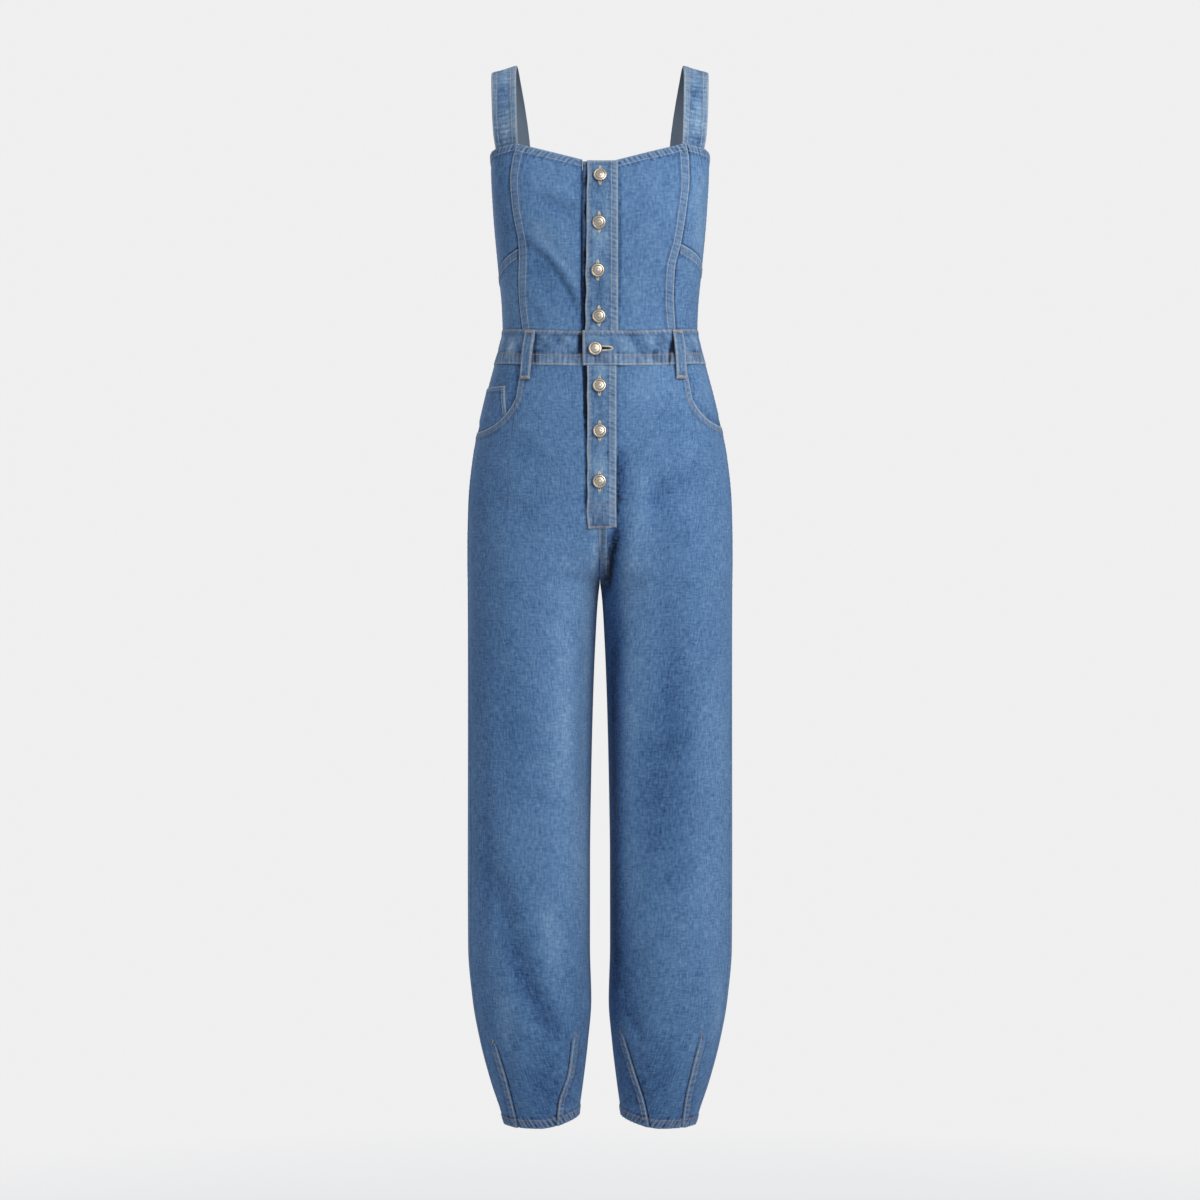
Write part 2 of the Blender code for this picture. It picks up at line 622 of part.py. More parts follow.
def add_waistband(collection):
    """Waistband in three lengths. The left one steps out near its end to lap over the right."""

    def band(start, end, shares):
        return grid_between(
            start,
            end,
            lambda a: waist_seam(a) - HALF_GAP,
            lambda a: waistband_foot(a) + HALF_GAP,
            shares,
            WAISTBAND_ROWS,
        )

    angle, height = band(edge_gap_angle, lambda z: angle_at(UNDERLAY_EDGE, z), WAISTBAND_SHARES)
    x = ring_point(angle, height)[..., 0]
    step = (BAND_CLOTH + LOOSE_GAP) * np.clip((LAP_START - x) / (LAP_START - LAP_FULL), 0.0, 1.0)
    points = on_body(1.0, angle, height, HEM_RAISE + step)
    add_wall("waistband_l", points, collection, DENIM_LIGHT, BAND_CLOTH)

    angle, height = band(edge_gap_angle, lambda z: angle_at(-LEFT_FRONT_EDGE, z), WAISTBAND_SHARES)
    points = on_body(-1.0, angle, height, HEM_RAISE)
    add_wall("waistband_r", points, collection, DENIM_LIGHT, BAND_CLOTH, flip=True)

    angle, height = band(lambda z: -edge_gap_angle(z), lambda z: edge_gap_angle(z) - math.pi, back_shares())
    points = on_body(1.0, angle, height, HEM_RAISE)
    add_wall("waistband_back", points, collection, DENIM_LIGHT, BAND_CLOTH, flip=True)


def leg_rows():
    """Shares of the way down a leg's front edge, by LEG_ROWS, with the hem's band at the foot."""
    heights = [LEG_TOP]
    for fields in LEG_ROWS:
        row = dict(zip(LEG_ROW_COLUMNS, fields))
        count = max(1, round((heights[-1] - row["down_to"]) / row["apart"]))
        heights.extend(np.linspace(heights[-1], row["down_to"], count + 1)[1:])
    heights.extend((LEG_FOOT + HEM_BAND + HEM_STEP, LEG_FOOT + HEM_BAND, LEG_FOOT))
    return leg_share(np.array(heights))


def leg_share(height):
    """Share of the way down the front edge of a leg at which this height lies."""
    return (LEG_TOP - height) / (LEG_TOP - LEG_FOOT)


def leg_hem(rows):
    """How far the rows of a leg's hem band are raised."""
    hem_top = leg_share(LEG_FOOT + HEM_BAND + 0.5 * HEM_STEP)
    return np.where(rows > hem_top, HEM_RAISE, 0.0)[:, None]


def add_leg_front(letter, collection):
    """Trouser front: pocket mouth at the top, centre seam and inner leg, darts and hem below."""
    side = SIDES[letter]
    names = LEG_FRONT_COLUMNS
    column = {name: [row[names.index(name)] for row in LEG_FRONT] for name in names}
    rows = leg_rows()

    def mouth(angle):
        height = waistband_foot(angle)
        for _ in range(ROUNDS):
            height = scoop_edge(side, ring_point(angle, height)[..., 0], angle)
        return height - HALF_GAP

    angle, height = grid_between(
        lambda z: side_seam_angle(z, SEAM_GAP),
        lambda z: centre_angle(HALF_GAP, z),
        mouth,
        hem_edge,
        column["mouth"],
        rows,
        column["dart_top"],
        column["hem"],
        leg_share(SEAT_HEIGHT),
    )
    dart_rows = ((rows > DART_TOP_SHARE) & (rows < DART_FOOT_SHARE))[:, None]
    dart = np.array(column["dart"]) * dart_rows * DART_RAISE
    points = on_body(side, angle, height, np.maximum(dart, leg_hem(rows)))
    return add_wall("leg_front_" + letter, points, collection, flip=side < 0.0)


def add_leg_back(letter, collection):
    """Trouser back, from the side seam round to the centre back and the inner leg."""
    side = SIDES[letter]
    rows = leg_rows()
    even = np.linspace(0.0, 1.0, LEG_BACK_COLUMNS)[1:-1]
    near_side, near_centre = LEG_BACK_SEAM_SHARES
    angle, height = grid_between(
        lambda z: side_seam_angle(z, -SEAM_GAP),
        lambda z: -centre_angle(HALF_GAP, z),
        lambda a: waistband_foot(a) - HALF_GAP,
        hem_edge,
        np.concatenate(([0.0, near_side], even, [near_centre, 1.0])),
        rows,
        seat_share=leg_share(SEAT_HEIGHT),
    )
    points = on_body(side, angle, height, leg_hem(rows))
    return add_wall("leg_back_" + letter, points, collection, flip=side > 0.0)


def add_pocket_facing(letter, collection):
    """Denim behind the pocket mouth, from the side seam to just past the mouth's edge."""
    side = SIDES[letter]
    scoop = scoop_of(side)
    inner_x = scoop["inner_x"] - FACING_REACH
    angle, height = grid_between(
        lambda z: side_seam_angle(z, SEAM_GAP),
        lambda z: angle_at(inner_x, z),
        lambda a: waistband_foot(a) - HALF_GAP,
        lambda a: np.full_like(a, scoop["lowest"] - FACING_REACH),
        FACING_SHARES,
        FACING_ROWS,
    )
    points = on_body(side, angle, height, -CLOTH - FACING_GAP)
    return add_wall("pocket_facing_" + letter, points, collection, DENIM_DARK, flip=side < 0.0)


def add_coin_pocket(collection):
    """Small patch that lies on the right facing, above the edge of the pocket mouth."""
    side = SIDES["r"]

    def foot(angle):
        height = np.full_like(angle, COIN_POCKET_TOP)
        for _ in range(ROUNDS):
            height = scoop_edge(side, ring_point(angle, height)[..., 0], angle)
        return np.minimum(height + 2.0 * LOOSE_GAP, COIN_POCKET_TOP - COIN_POCKET_LEAST)

    angle, height = grid_between(
        lambda z: side_seam_angle(z) + np.radians(COIN_POCKET_FROM_SEAM),
        lambda z: angle_at(COIN_POCKET_INNER_X, z),
        lambda a: np.full_like(a, COIN_POCKET_TOP),
        foot,
        COIN_SHARES,
        COIN_ROWS,
    )
    points = on_body(side, angle, height, LAYER - CLOTH - FACING_GAP + SEAM_GAP)
    add_wall("coin_pocket", points, collection, DENIM_MID, flip=True)


def front_strip(left_edge, right_edge, top, bottom, lift):
    """Grid of a vertical strip at the centre front, rows running down and columns towards -X."""
    x = np.linspace(left_edge, right_edge, BAND_COLUMNS)[None, :]
    height = np.linspace(top, bottom, BAND_ROWS)[:, None]
    return on_front(x, height, lift)


def add_bands(collection):
    """Button bands and their underlays on the bodice and on the fly."""
    centre = math.pi / 2
    top = float(top_edge(np.array([centre]))[0])
    seam = float(waist_seam(centre))
    foot = float(waistband_foot(centre))
    underlay_start = LEFT_FRONT_EDGE - SEAM_GAP
    points = front_strip(BAND_SEWN_EDGE, BAND_FREE_EDGE, top, seam + HALF_GAP, BAND_LIFTS["bodice"])
    add_wall("placket_bodice", points, collection, DENIM_LIGHT)
    points = front_strip(underlay_start, UNDERLAY_EDGE, top, seam + HALF_GAP, 0.0)
    add_wall("placket_under_bodice", points, collection)
    points = front_strip(FLY_SEWN_EDGE, BAND_FREE_EDGE, foot - HALF_GAP, FLY_FOOT, BAND_LIFTS["fly"])
    add_wall("fly_placket", points, collection, DENIM_LIGHT)
    points = front_strip(underlay_start, UNDERLAY_EDGE, foot - HALF_GAP, FLY_UNDER_FOOT, -CLOTH - LOOSE_GAP)
    add_wall("fly_under", points, collection)


def smooth_path(rows, count):
    """Points along a smooth curve through the rows, evenly spaced by the rows' own number."""
    rows = np.asarray(rows, float)
    t = np.linspace(0.0, len(rows) - 1.0, count)
    index = np.minimum(t.astype(int), len(rows) - 2)
    share = (t - index)[:, None]
    before = rows[np.maximum(index - 1, 0)]
    here = rows[index]
    there = rows[index + 1]
    beyond = rows[np.minimum(index + 2, len(rows) - 1)]
    slope_here = 0.5 * (there - before)
    slope_there = 0.5 * (beyond - here)
    cubic = 2.0 * here - 2.0 * there + slope_here + slope_there
    square = -3.0 * here + 3.0 * there - 2.0 * slope_here - slope_there
    return here + share * (slope_here + share * (square + share * cubic))


def strap_foot(side, face, edges):
    """The rows of a strap that lie inside the bodice's top edge, as pairs of edge points."""
    x = np.array(edges)
    rows = []
    for tuck in STRAP_TUCK:
        height = top_edge(angle_at(x, np.full(2, TOP_EDGE_LEVEL), face)) - tuck
        rows.append(on_body(side, angle_at(x, height, face), height, -CLOTH - LOOSE_GAP))
    return rows


def add_strap(letter, collection):
    """Shoulder strap: inside the front's top edge, over the shoulder, inside the back's."""
    side = SIDES[letter]
    front = strap_foot(side, 1.0, STRAP_FRONT_FOOT)
    back = strap_foot(side, -1.0, STRAP_BACK_FOOT)
    inner = [front[1][0], front[0][0]]
    outer = [front[1][1], front[0][1]]
    for row in STRAP_ARCH:
        place = dict(zip(STRAP_COLUMNS, row))
        inner.append((side * place["inner_x"], place["inner_y"], place["z"] + place["lean"]))
        outer.append((side * place["outer_x"], place["outer_y"], place["z"] - place["lean"]))
    inner.extend([back[0][0], back[1][0]])
    outer.extend([back[0][1], back[1][1]])
    inner_edge = smooth_path(inner, STRAP_ROWS)
    outer_edge = smooth_path(outer, STRAP_ROWS)
    share = np.array(STRAP_SHARES)[None, :, None]
    points = outer_edge[:, None, :] + share * (inner_edge - outer_edge)[:, None, :]
    return add_wall("strap_" + letter, points, collection, DENIM_LIGHT, STRAP_CLOTH, flip=side > 0.0)


def add_belt_loop(row, collection):
    """Belt loop: a slanted strip, sewn down at both ends and standing off in the middle."""
    loop = dict(zip(LOOP_COLUMNS, row))
    side = SIDES[loop["side"]]
    down = np.array(LOOP_ROWS)[:, None]
    centre = loop["top_x"] + down * (loop["bottom_x"] - loop["top_x"])
    x = centre + LOOP_WIDTH * np.array(LOOP_SHARES)[None, :]
    middle_angle = angle_at(np.array([loop["top_x"]]), np.array([WAIST_SEAM]), loop["face"])
    top = waist_seam(middle_angle) + LOOP_TOP_ABOVE_BAND
    bottom = waistband_foot(middle_angle) - LOOP_BOTTOM_BELOW_BAND
    height = np.broadcast_to(top + down * (bottom - top), x.shape)
    arch = np.sin(math.pi * down) ** LOOP_ARCH_POWER
    lift = HEM_RAISE + BAND_LAYER + loop["stand_off"] * arch
    left = on_body(side, angle_at(np.abs(x), height, loop["face"]), height, lift)
    right = on_body(-side, angle_at(np.abs(x), height, loop["face"]), height, lift)
    points = np.where((x < 0.0)[..., None], right, left)
    turned = side * loop["face"] < 0.0
    add_wall(loop["name"], points, collection, DENIM_LIGHT, BAND_CLOTH, flip=turned)


def add_buttons(collection):
    """Turned dome buttons, each square to the band that it sits on."""
    for number, fields in enumerate(BUTTONS, start=1):
        place = dict(zip(BUTTON_COLUMNS, fields))
        x = np.array([place["x"]])
        z = np.array([place["z"]])
        lift = BAND_LIFTS[place["band"]]
        name = "button_" + str(number)
        mesh = bpy.data.meshes.new(name)
        profile = [(radius, 0.0, height) for radius, height in BUTTON_PROFILE]
        edges = [(index, index + 1) for index in range(len(profile) - 1)]
        mesh.from_pydata(profile, edges, [])
        button = bpy.data.objects.new(name, mesh)
        collection.objects.link(button)
        turn = button.modifiers.new("Turned", "SCREW")
        turn.steps = BUTTON_SIDES
        turn.render_steps = BUTTON_SIDES
        turn.use_merge_vertices = True
        turn.merge_threshold = MERGE_DISTANCE
        seat = on_front(x, z, lift + SEAM_GAP)[0]
        above = on_front(x, z + BUTTON_TILT_REACH, lift)[0]
        below = on_front(x, z - BUTTON_TILT_REACH, lift)[0]
        tilt = math.atan2(above[1] - below[1], above[2] - below[2])
        button.location = seat.tolist()
        button.rotation_euler = (math.pi / 2 - tilt, 0.0, 0.0)
        mesh.materials.append(add_material(name, OLD_BRASS, BRASS_ROUGHNESS, 1.0))


def build_jumpsuit():
    """Build every piece of the garment in its own collection."""
    clear_scene()
    collection = bpy.data.collections.new("denim_jumpsuit")
    bpy.context.scene.collection.children.link(collection)
    for letter in SIDES:
        add_bodice_front(letter, collection)
        add_side_panels(letter, collection)
        add_leg_front(letter, collection)
        add_leg_back(letter, collection)
        add_pocket_facing(letter, collection)
        add_strap(letter, collection)
    add_bodice_back(collection)
    add_waistband(collection)
    add_coin_pocket(collection)
    add_bands(collection)
    for row in BELT_LOOPS:
        add_belt_loop(row, collection)
    add_buttons(collection)


build_jumpsuit()
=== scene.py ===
import math
from types import SimpleNamespace

import bpy
import numpy as np
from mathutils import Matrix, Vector


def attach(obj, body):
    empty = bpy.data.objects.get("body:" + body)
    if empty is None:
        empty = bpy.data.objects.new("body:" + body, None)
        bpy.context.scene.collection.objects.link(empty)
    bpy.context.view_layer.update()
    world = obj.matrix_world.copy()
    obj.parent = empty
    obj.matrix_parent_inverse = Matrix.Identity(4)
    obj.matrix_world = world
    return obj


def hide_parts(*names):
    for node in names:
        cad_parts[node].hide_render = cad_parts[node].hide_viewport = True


# Denim jumpsuit, filled out as if worn. Each panel is a thin shell on the same smooth hollow
# form as its solid. Metres, +Z up, the front faces -Y, +X is the wearer's left.

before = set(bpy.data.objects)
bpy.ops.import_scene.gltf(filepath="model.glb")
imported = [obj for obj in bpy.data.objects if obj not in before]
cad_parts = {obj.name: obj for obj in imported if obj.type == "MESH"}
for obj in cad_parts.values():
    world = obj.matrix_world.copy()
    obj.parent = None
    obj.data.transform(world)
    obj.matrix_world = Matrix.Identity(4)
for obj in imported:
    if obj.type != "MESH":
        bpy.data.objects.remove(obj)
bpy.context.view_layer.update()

# Cloth and seams
CLOTH = 0.0015
BAND_CLOTH = 0.0022
STRAP_CLOTH = 0.0018
SEAM_GAP = 0.0003
HALF_GAP = 0.00006
LOOSE_GAP = 0.0006
FACING_GAP = 0.0009
FACING_REACH = 0.0080
HEM_RAISE = 0.0008

# Heights of the main seams at the side of the body
WAIST_SEAM = -0.3294
WAIST_FRONT_DROP = 0.0072
WAIST_BACK_RISE = 0.0030
WAISTBAND_HEIGHT = 0.0440
HEM_HEIGHT = -1.3345
HEM_INNER_RISE = 0.0105
HEM_RISE_POWER = 1.5
SEAT_HEIGHT = -0.6200
LEG_TOP = WAIST_SEAM - WAIST_FRONT_DROP - WAISTBAND_HEIGHT
LEG_FOOT = HEM_HEIGHT + HEM_INNER_RISE
TOP_EDGE_LEVEL = -0.11
PRINCESS_LEVEL = -0.24
FLOOR = -1.62

# Button band, across the body from the centre front
BAND_FREE_EDGE = -0.0161
BAND_SEWN_EDGE = 0.0222
UNDERLAY_EDGE = -0.0215
LEFT_FRONT_EDGE = 0.0125
FLY_SEWN_EDGE = 0.0203
LAP_START = 0.0400
LAP_FULL = 0.0185
FLY_FOOT = -0.5820
FLY_UNDER_FOOT = -0.5460
PLACKET_LEAN = 0.0024

SECTION_COLUMNS = ("height", "outer", "inner", "front", "back", "middle", "square")
SECTIONS = (
    (-0.080, 0.1380, -0.1380, -0.0870, 0.0840, 0.002, 0.46),
    (-0.125, 0.1378, -0.1378, -0.0980, 0.0910, 0.002, 0.50),
    (-0.185, 0.1347, -0.1347, -0.1130, 0.0970, 0.001, 0.62),
    (-0.250, 0.1288, -0.1288, -0.1040, 0.0900, 0.000, 0.74),
    (-0.300, 0.1240, -0.1240, -0.0960, 0.0820, 0.000, 0.82),
    (-0.328, 0.1230, -0.1230, -0.0940, 0.0800, 0.000, 0.84),
    (-0.354, 0.1283, -0.1283, -0.0960, 0.0850, 0.000, 0.85),
    (-0.380, 0.1353, -0.1353, -0.0990, 0.0930, 0.001, 0.85),
    (-0.430, 0.1483, -0.1483, -0.1060, 0.1070, 0.002, 0.86),
    (-0.490, 0.1612, -0.1612, -0.1100, 0.1180, 0.003, 0.87),
    (-0.545, 0.1672, -0.1672, -0.1100, 0.1190, 0.004, 0.88),
    (-0.572, 0.1680, -0.1060, -0.1090, 0.1170, 0.004, 0.89),
    (-0.598, 0.1684, -0.0560, -0.1070, 0.1130, 0.004, 0.90),
    (-0.625, 0.1684, -0.0235, -0.1040, 0.1080, 0.003, 0.91),
    (-0.651, 0.1680, 0.0004, -0.1010, 0.1040, 0.003, 0.92),
    (-0.722, 0.1678, 0.0057, -0.0960, 0.0970, 0.002, 0.92),
    (-0.800, 0.1677, 0.0088, -0.0920, 0.0920, 0.001, 0.92),
    (-0.900, 0.1678, 0.0112, -0.0880, 0.0890, 0.002, 0.92),
    (-1.000, 0.1680, 0.0126, -0.0860, 0.0900, 0.004, 0.92),
    (-1.110, 0.1676, 0.0127, -0.0840, 0.0890, 0.004, 0.93),
    (-1.179, 0.1618, 0.0110, -0.0790, 0.0850, 0.004, 0.93),
    (-1.230, 0.1525, 0.0150, -0.0720, 0.0780, 0.003, 0.94),
    (-1.281, 0.1390, 0.0210, -0.0620, 0.0670, 0.002, 0.95),
    (-1.318, 0.1265, 0.0260, -0.0540, 0.0580, 0.001, 0.96),
    (-1.345, 0.1185, 0.0290, -0.0500, 0.0540, 0.001, 0.97),
)
TOP_COLUMNS = ("across", "height")
TOP_FRONT = (
    (0.000, -0.1266), (0.016, -0.1266), (0.104, -0.1030), (0.131, -0.1068), (0.138, -0.1095),
)
TOP_BACK = ((0.000, -0.1150), (0.085, -0.1120), (0.138, -0.1095))
PRINCESS_COLUMNS = ("height", "wearer_left", "wearer_right")
PRINCESS = (
    (-0.100, 0.1060, 0.1010),
    (-0.120, 0.1108, 0.1088),
    (-0.147, 0.1115, 0.1120),
    (-0.182, 0.1080, 0.1095),
    (-0.222, 0.1021, 0.1030),
    (-0.260, 0.0935, 0.1013),
    (-0.290, 0.0925, 0.1010),
    (-0.336, 0.0946, 0.0966),
)
SIDE_SEAM_COLUMNS = ("height", "angle")
SIDE_SEAM = (
    (-0.370, 0.0), (-0.450, 4.0), (-0.700, 10.0), (-1.000, 17.0), (-1.200, 15.0), (-1.340, 12.0),
)
CROSS_COLUMNS = ("side", "at_princess", "at_side")
CROSS_SEAMS = (("l", -0.2270, -0.2500), ("r", -0.2335, -0.2610))
SCOOP_COLUMNS = ("side", "inner_x", "outer_x", "lowest")
SCOOPS = (("l", 0.1055, 0.1580, -0.4520), ("r", 0.0965, 0.1580, -0.4590))
COIN_POCKET_TOP = -0.4035
COIN_POCKET_INNER_X = 0.1180
COIN_POCKET_LEAST = 0.0120
COIN_POCKET_FROM_SEAM = 3.0

# Largest folds, the same as in the solids: soft troughs (depth over zero) and ridges (under zero)
FOLD_COLUMNS = ("side", "face", "x_1", "z_1", "x_2", "z_2", "width", "depth")
FOLDS = (
    ("r", 1, 0.146, -0.990, 0.060, -1.210, 0.018, 0.0055),
    ("r", 1, 0.040, -0.730, 0.048, -1.080, 0.020, -0.0035),
    ("r", 1, 0.016, -0.690, 0.019, -0.960, 0.012, 0.0030),
    ("r", 1, 0.120, -0.700, 0.110, -0.930, 0.024, 0.0030),
    ("l", 1, 0.088, -0.660, 0.084, -1.010, 0.026, 0.0050),
    ("l", 1, 0.032, -0.700, 0.026, -1.090, 0.012, -0.0045),
    ("l", 1, 0.140, -0.780, 0.128, -1.120, 0.022, -0.0030),
    ("l", 1, 0.040, -1.110, 0.070, -1.200, 0.018, 0.0030),
    ("r", -1, 0.100, -0.560, 0.060, -0.700, 0.022, 0.0055),
    ("r", -1, 0.080, -0.900, 0.110, -1.140, 0.022, 0.0045),
    ("l", -1, 0.096, -0.570, 0.054, -0.690, 0.024, 0.0050),
    ("l", -1, 0.070, -0.860, 0.104, -1.100, 0.024, 0.0050),
)
FOLD_FACE_DEPTH = 0.04

# Smaller creases: a bowed line, its width, its depth (a ridge is under zero) and how much steeper
# its lower side is
CREASE_COLUMNS = ("side", "face", "x_1", "z_1", "x_2", "z_2", "bow", "width", "depth", "steep")
CREASES = (
    ("r", 1, 0.0994, -0.2235, 0.0270, -0.3220, 0.009, 0.0088, 0.0042, 0.5),
    ("r", 1, 0.092, -0.172, 0.030, -0.196, 0.004, 0.0110, 0.0030, 0.3),
    ("r", 1, 0.076, -0.186, 0.022, -0.270, 0.006, 0.0120, -0.0016, 0.0),
    ("r", 1, 0.080, -0.262, 0.060, -0.330, 0.004, 0.0100, 0.0016, 0.2),
    ("r", 1, 0.086, -0.296, 0.074, -0.332, 0.000, 0.0070, 0.0012, 0.0),
    ("r", 1, 0.026, -0.150, 0.034, -0.172, 0.000, 0.0060, 0.0009, 0.0),
    ("r", 1, 0.119, -0.205, 0.117, -0.252, 0.001, 0.0060, -0.0010, 0.0),
    ("l", 1, 0.030, -0.160, 0.070, -0.190, 0.004, 0.0120, 0.0009, 0.2),
    ("l", 1, 0.034, -0.268, 0.028, -0.330, 0.002, 0.0080, 0.0009, 0.0),
    ("l", 1, 0.084, -0.262, 0.076, -0.332, -0.004, 0.0085, 0.0011, 0.2),
    ("l", 1, 0.118, -0.198, 0.121, -0.240, 0.000, 0.0080, -0.0011, 0.0),
    ("r", -1, 0.020, -0.240, 0.096, -0.292, 0.006, 0.0110, 0.0032, 0.3),
    ("r", -1, 0.012, -0.292, 0.074, -0.322, 0.004, 0.0080, 0.0023, 0.2),
    ("l", -1, 0.008, -0.262, 0.090, -0.300, -0.005, 0.0100, 0.0028, 0.3),
    ("l", -1, 0.040, -0.306, 0.104, -0.318, 0.004, 0.0070, 0.0019, 0.0),
    ("l", -1, 0.070, -0.160, 0.090, -0.220, 0.005, 0.0130, 0.0017, 0.0),
    ("r", -1, 0.062, -0.150, 0.088, -0.205, -0.004, 0.0120, 0.0014, 0.0),
    ("l", 1, 0.0260, -0.480, 0.0185, -0.585, 0.003, 0.0080, 0.0034, 0.5),
    ("l", 1, 0.0185, -0.560, 0.0060, -0.655, -0.002, 0.0062, 0.0056, 0.5),
    ("r", 1, 0.084, -0.343, 0.062, -0.364, 0.002, 0.0046, 0.0013, 0.3),
    ("r", 1, 0.062, -0.341, 0.034, -0.368, 0.002, 0.0050, 0.0018, 0.4),
    ("r", 1, 0.036, -0.342, 0.020, -0.358, 0.001, 0.0040, 0.0012, 0.0),
    ("r", 1, 0.106, -0.344, 0.098, -0.370, 0.001, 0.0050, 0.0014, 0.2),
    ("l", 1, 0.032, -0.344, 0.058, -0.366, 0.002, 0.0050, 0.0014, 0.3),
    ("l", 1, 0.060, -0.340, 0.086, -0.360, 0.002, 0.0046, 0.0017, 0.3),
    ("l", 1, 0.056, -0.362, 0.082, -0.374, 0.001, 0.0040, 0.0011, 0.0),
    ("l", 1, 0.106, -0.346, 0.120, -0.368, 0.001, 0.0046, 0.0015, 0.2),
    ("l", 1, 0.042, -0.500, 0.050, -0.610, -0.004, 0.0120, -0.0014, 0.0),
    ("l", 1, 0.074, -0.420, 0.104, -0.468, 0.004, 0.0150, 0.0018, 0.2),
    ("l", 1, 0.118, -0.505, 0.060, -0.560, 0.004, 0.0160, 0.0016, 0.2),
    ("l", 1, 0.060, -0.650, 0.014, -0.668, 0.002, 0.0070, 0.0012, 0.0),
    ("l", 1, 0.112, -0.840, 0.066, -0.870, 0.006, 0.0120, 0.0014, 0.2),
    ("l", 1, 0.120, -1.000, 0.070, -1.032, 0.006, 0.0110, 0.0012, 0.3),
    ("l", 1, 0.016, -0.690, 0.018, -1.160, 0.003, 0.0090, 0.0034, 0.3),
    ("l", 1, 0.026, -1.150, 0.050, -1.226, -0.003, 0.0080, 0.0030, 0.4),
    ("l", 1, 0.146, -1.080, 0.136, -1.190, 0.004, 0.0090, -0.0014, 0.0),
    ("l", 1, 0.096, -1.210, 0.070, -1.290, 0.003, 0.0130, 0.0015, 0.0),
    ("r", 1, 0.120, -0.470, 0.070, -0.500, 0.004, 0.0150, 0.0013, 0.2),
    ("r", 1, 0.140, -0.545, 0.074, -0.580, 0.005, 0.0160, 0.0017, 0.3),
    ("r", 1, 0.052, -0.610, 0.010, -0.630, 0.002, 0.0080, 0.0012, 0.0),
    ("r", 1, 0.090, -0.690, 0.040, -0.730, 0.004, 0.0110, -0.0010, 0.0),
    ("r", 1, 0.132, -0.820, 0.080, -0.846, 0.006, 0.0120, 0.0012, 0.2),
    ("r", 1, 0.096, -0.915, 0.052, -0.930, 0.004, 0.0090, 0.0009, 0.0),
    ("r", 1, 0.146, -0.860, 0.150, -1.130, 0.003, 0.0060, 0.0014, 0.0),
    ("r", 1, 0.123, -1.081, 0.046, -1.212, -0.008, 0.0125, 0.0028, 0.2),
    ("r", 1, 0.084, -1.190, 0.038, -1.224, 0.003, 0.0070, 0.0020, 0.3),
    ("r", 1, 0.098, -1.120, 0.060, -1.140, 0.003, 0.0085, 0.0010, 0.0),
    ("r", 1, 0.078, -1.228, 0.072, -1.300, 0.003, 0.0120, 0.0014, 0.0),
    ("r", 1, 0.024, -1.140, 0.030, -1.200, 0.002, 0.0060, 0.0012, 0.0),
    ("r", -1, 0.014, -0.590, 0.094, -0.556, 0.006, 0.0100, 0.0032, 0.3),
    ("r", -1, 0.016, -0.640, 0.112, -0.612, 0.008, 0.0090, 0.0038, 0.4),
    ("r", -1, 0.024, -0.690, 0.100, -0.676, 0.005, 0.0080, 0.0025, 0.2),
    ("r", -1, 0.046, -0.905, 0.128, -0.930, 0.006, 0.0110, 0.0033, 0.4),
    ("r", -1, 0.060, -0.962, 0.136, -0.946, -0.005, 0.0090, 0.0026, 0.2),
    ("r", -1, 0.040, -1.010, 0.104, -1.036, 0.005, 0.0100, 0.0023, 0.2),
    ("r", -1, 0.066, -1.150, 0.112, -1.206, 0.006, 0.0100, 0.0029, 0.2),
    ("r", -1, 0.050, -1.220, 0.090, -1.262, 0.003, 0.0080, 0.0017, 0.0),
    ("l", -1, 0.012, -0.602, 0.104, -0.572, 0.006, 0.0110, 0.0035, 0.4),
    ("l", -1, 0.020, -0.652, 0.096, -0.640, 0.005, 0.0080, 0.0026, 0.2),
    ("l", -1, 0.030, -0.705, 0.120, -0.690, 0.008, 0.0100, 0.0029, 0.3),
    ("l", -1, 0.054, -0.880, 0.130, -0.916, 0.006, 0.0100, 0.0030, 0.3),
    ("l", -1, 0.050, -0.950, 0.118, -0.948, -0.004, 0.0090, 0.0028, 0.2),
    ("l", -1, 0.062, -1.000, 0.132, -1.030, 0.005, 0.0110, 0.0025, 0.3),
    ("l", -1, 0.048, -1.130, 0.108, -1.180, 0.006, 0.0100, 0.0028, 0.2),
    ("l", -1, 0.060, -1.226, 0.094, -1.250, 0.002, 0.0070, 0.0014, 0.0),
)
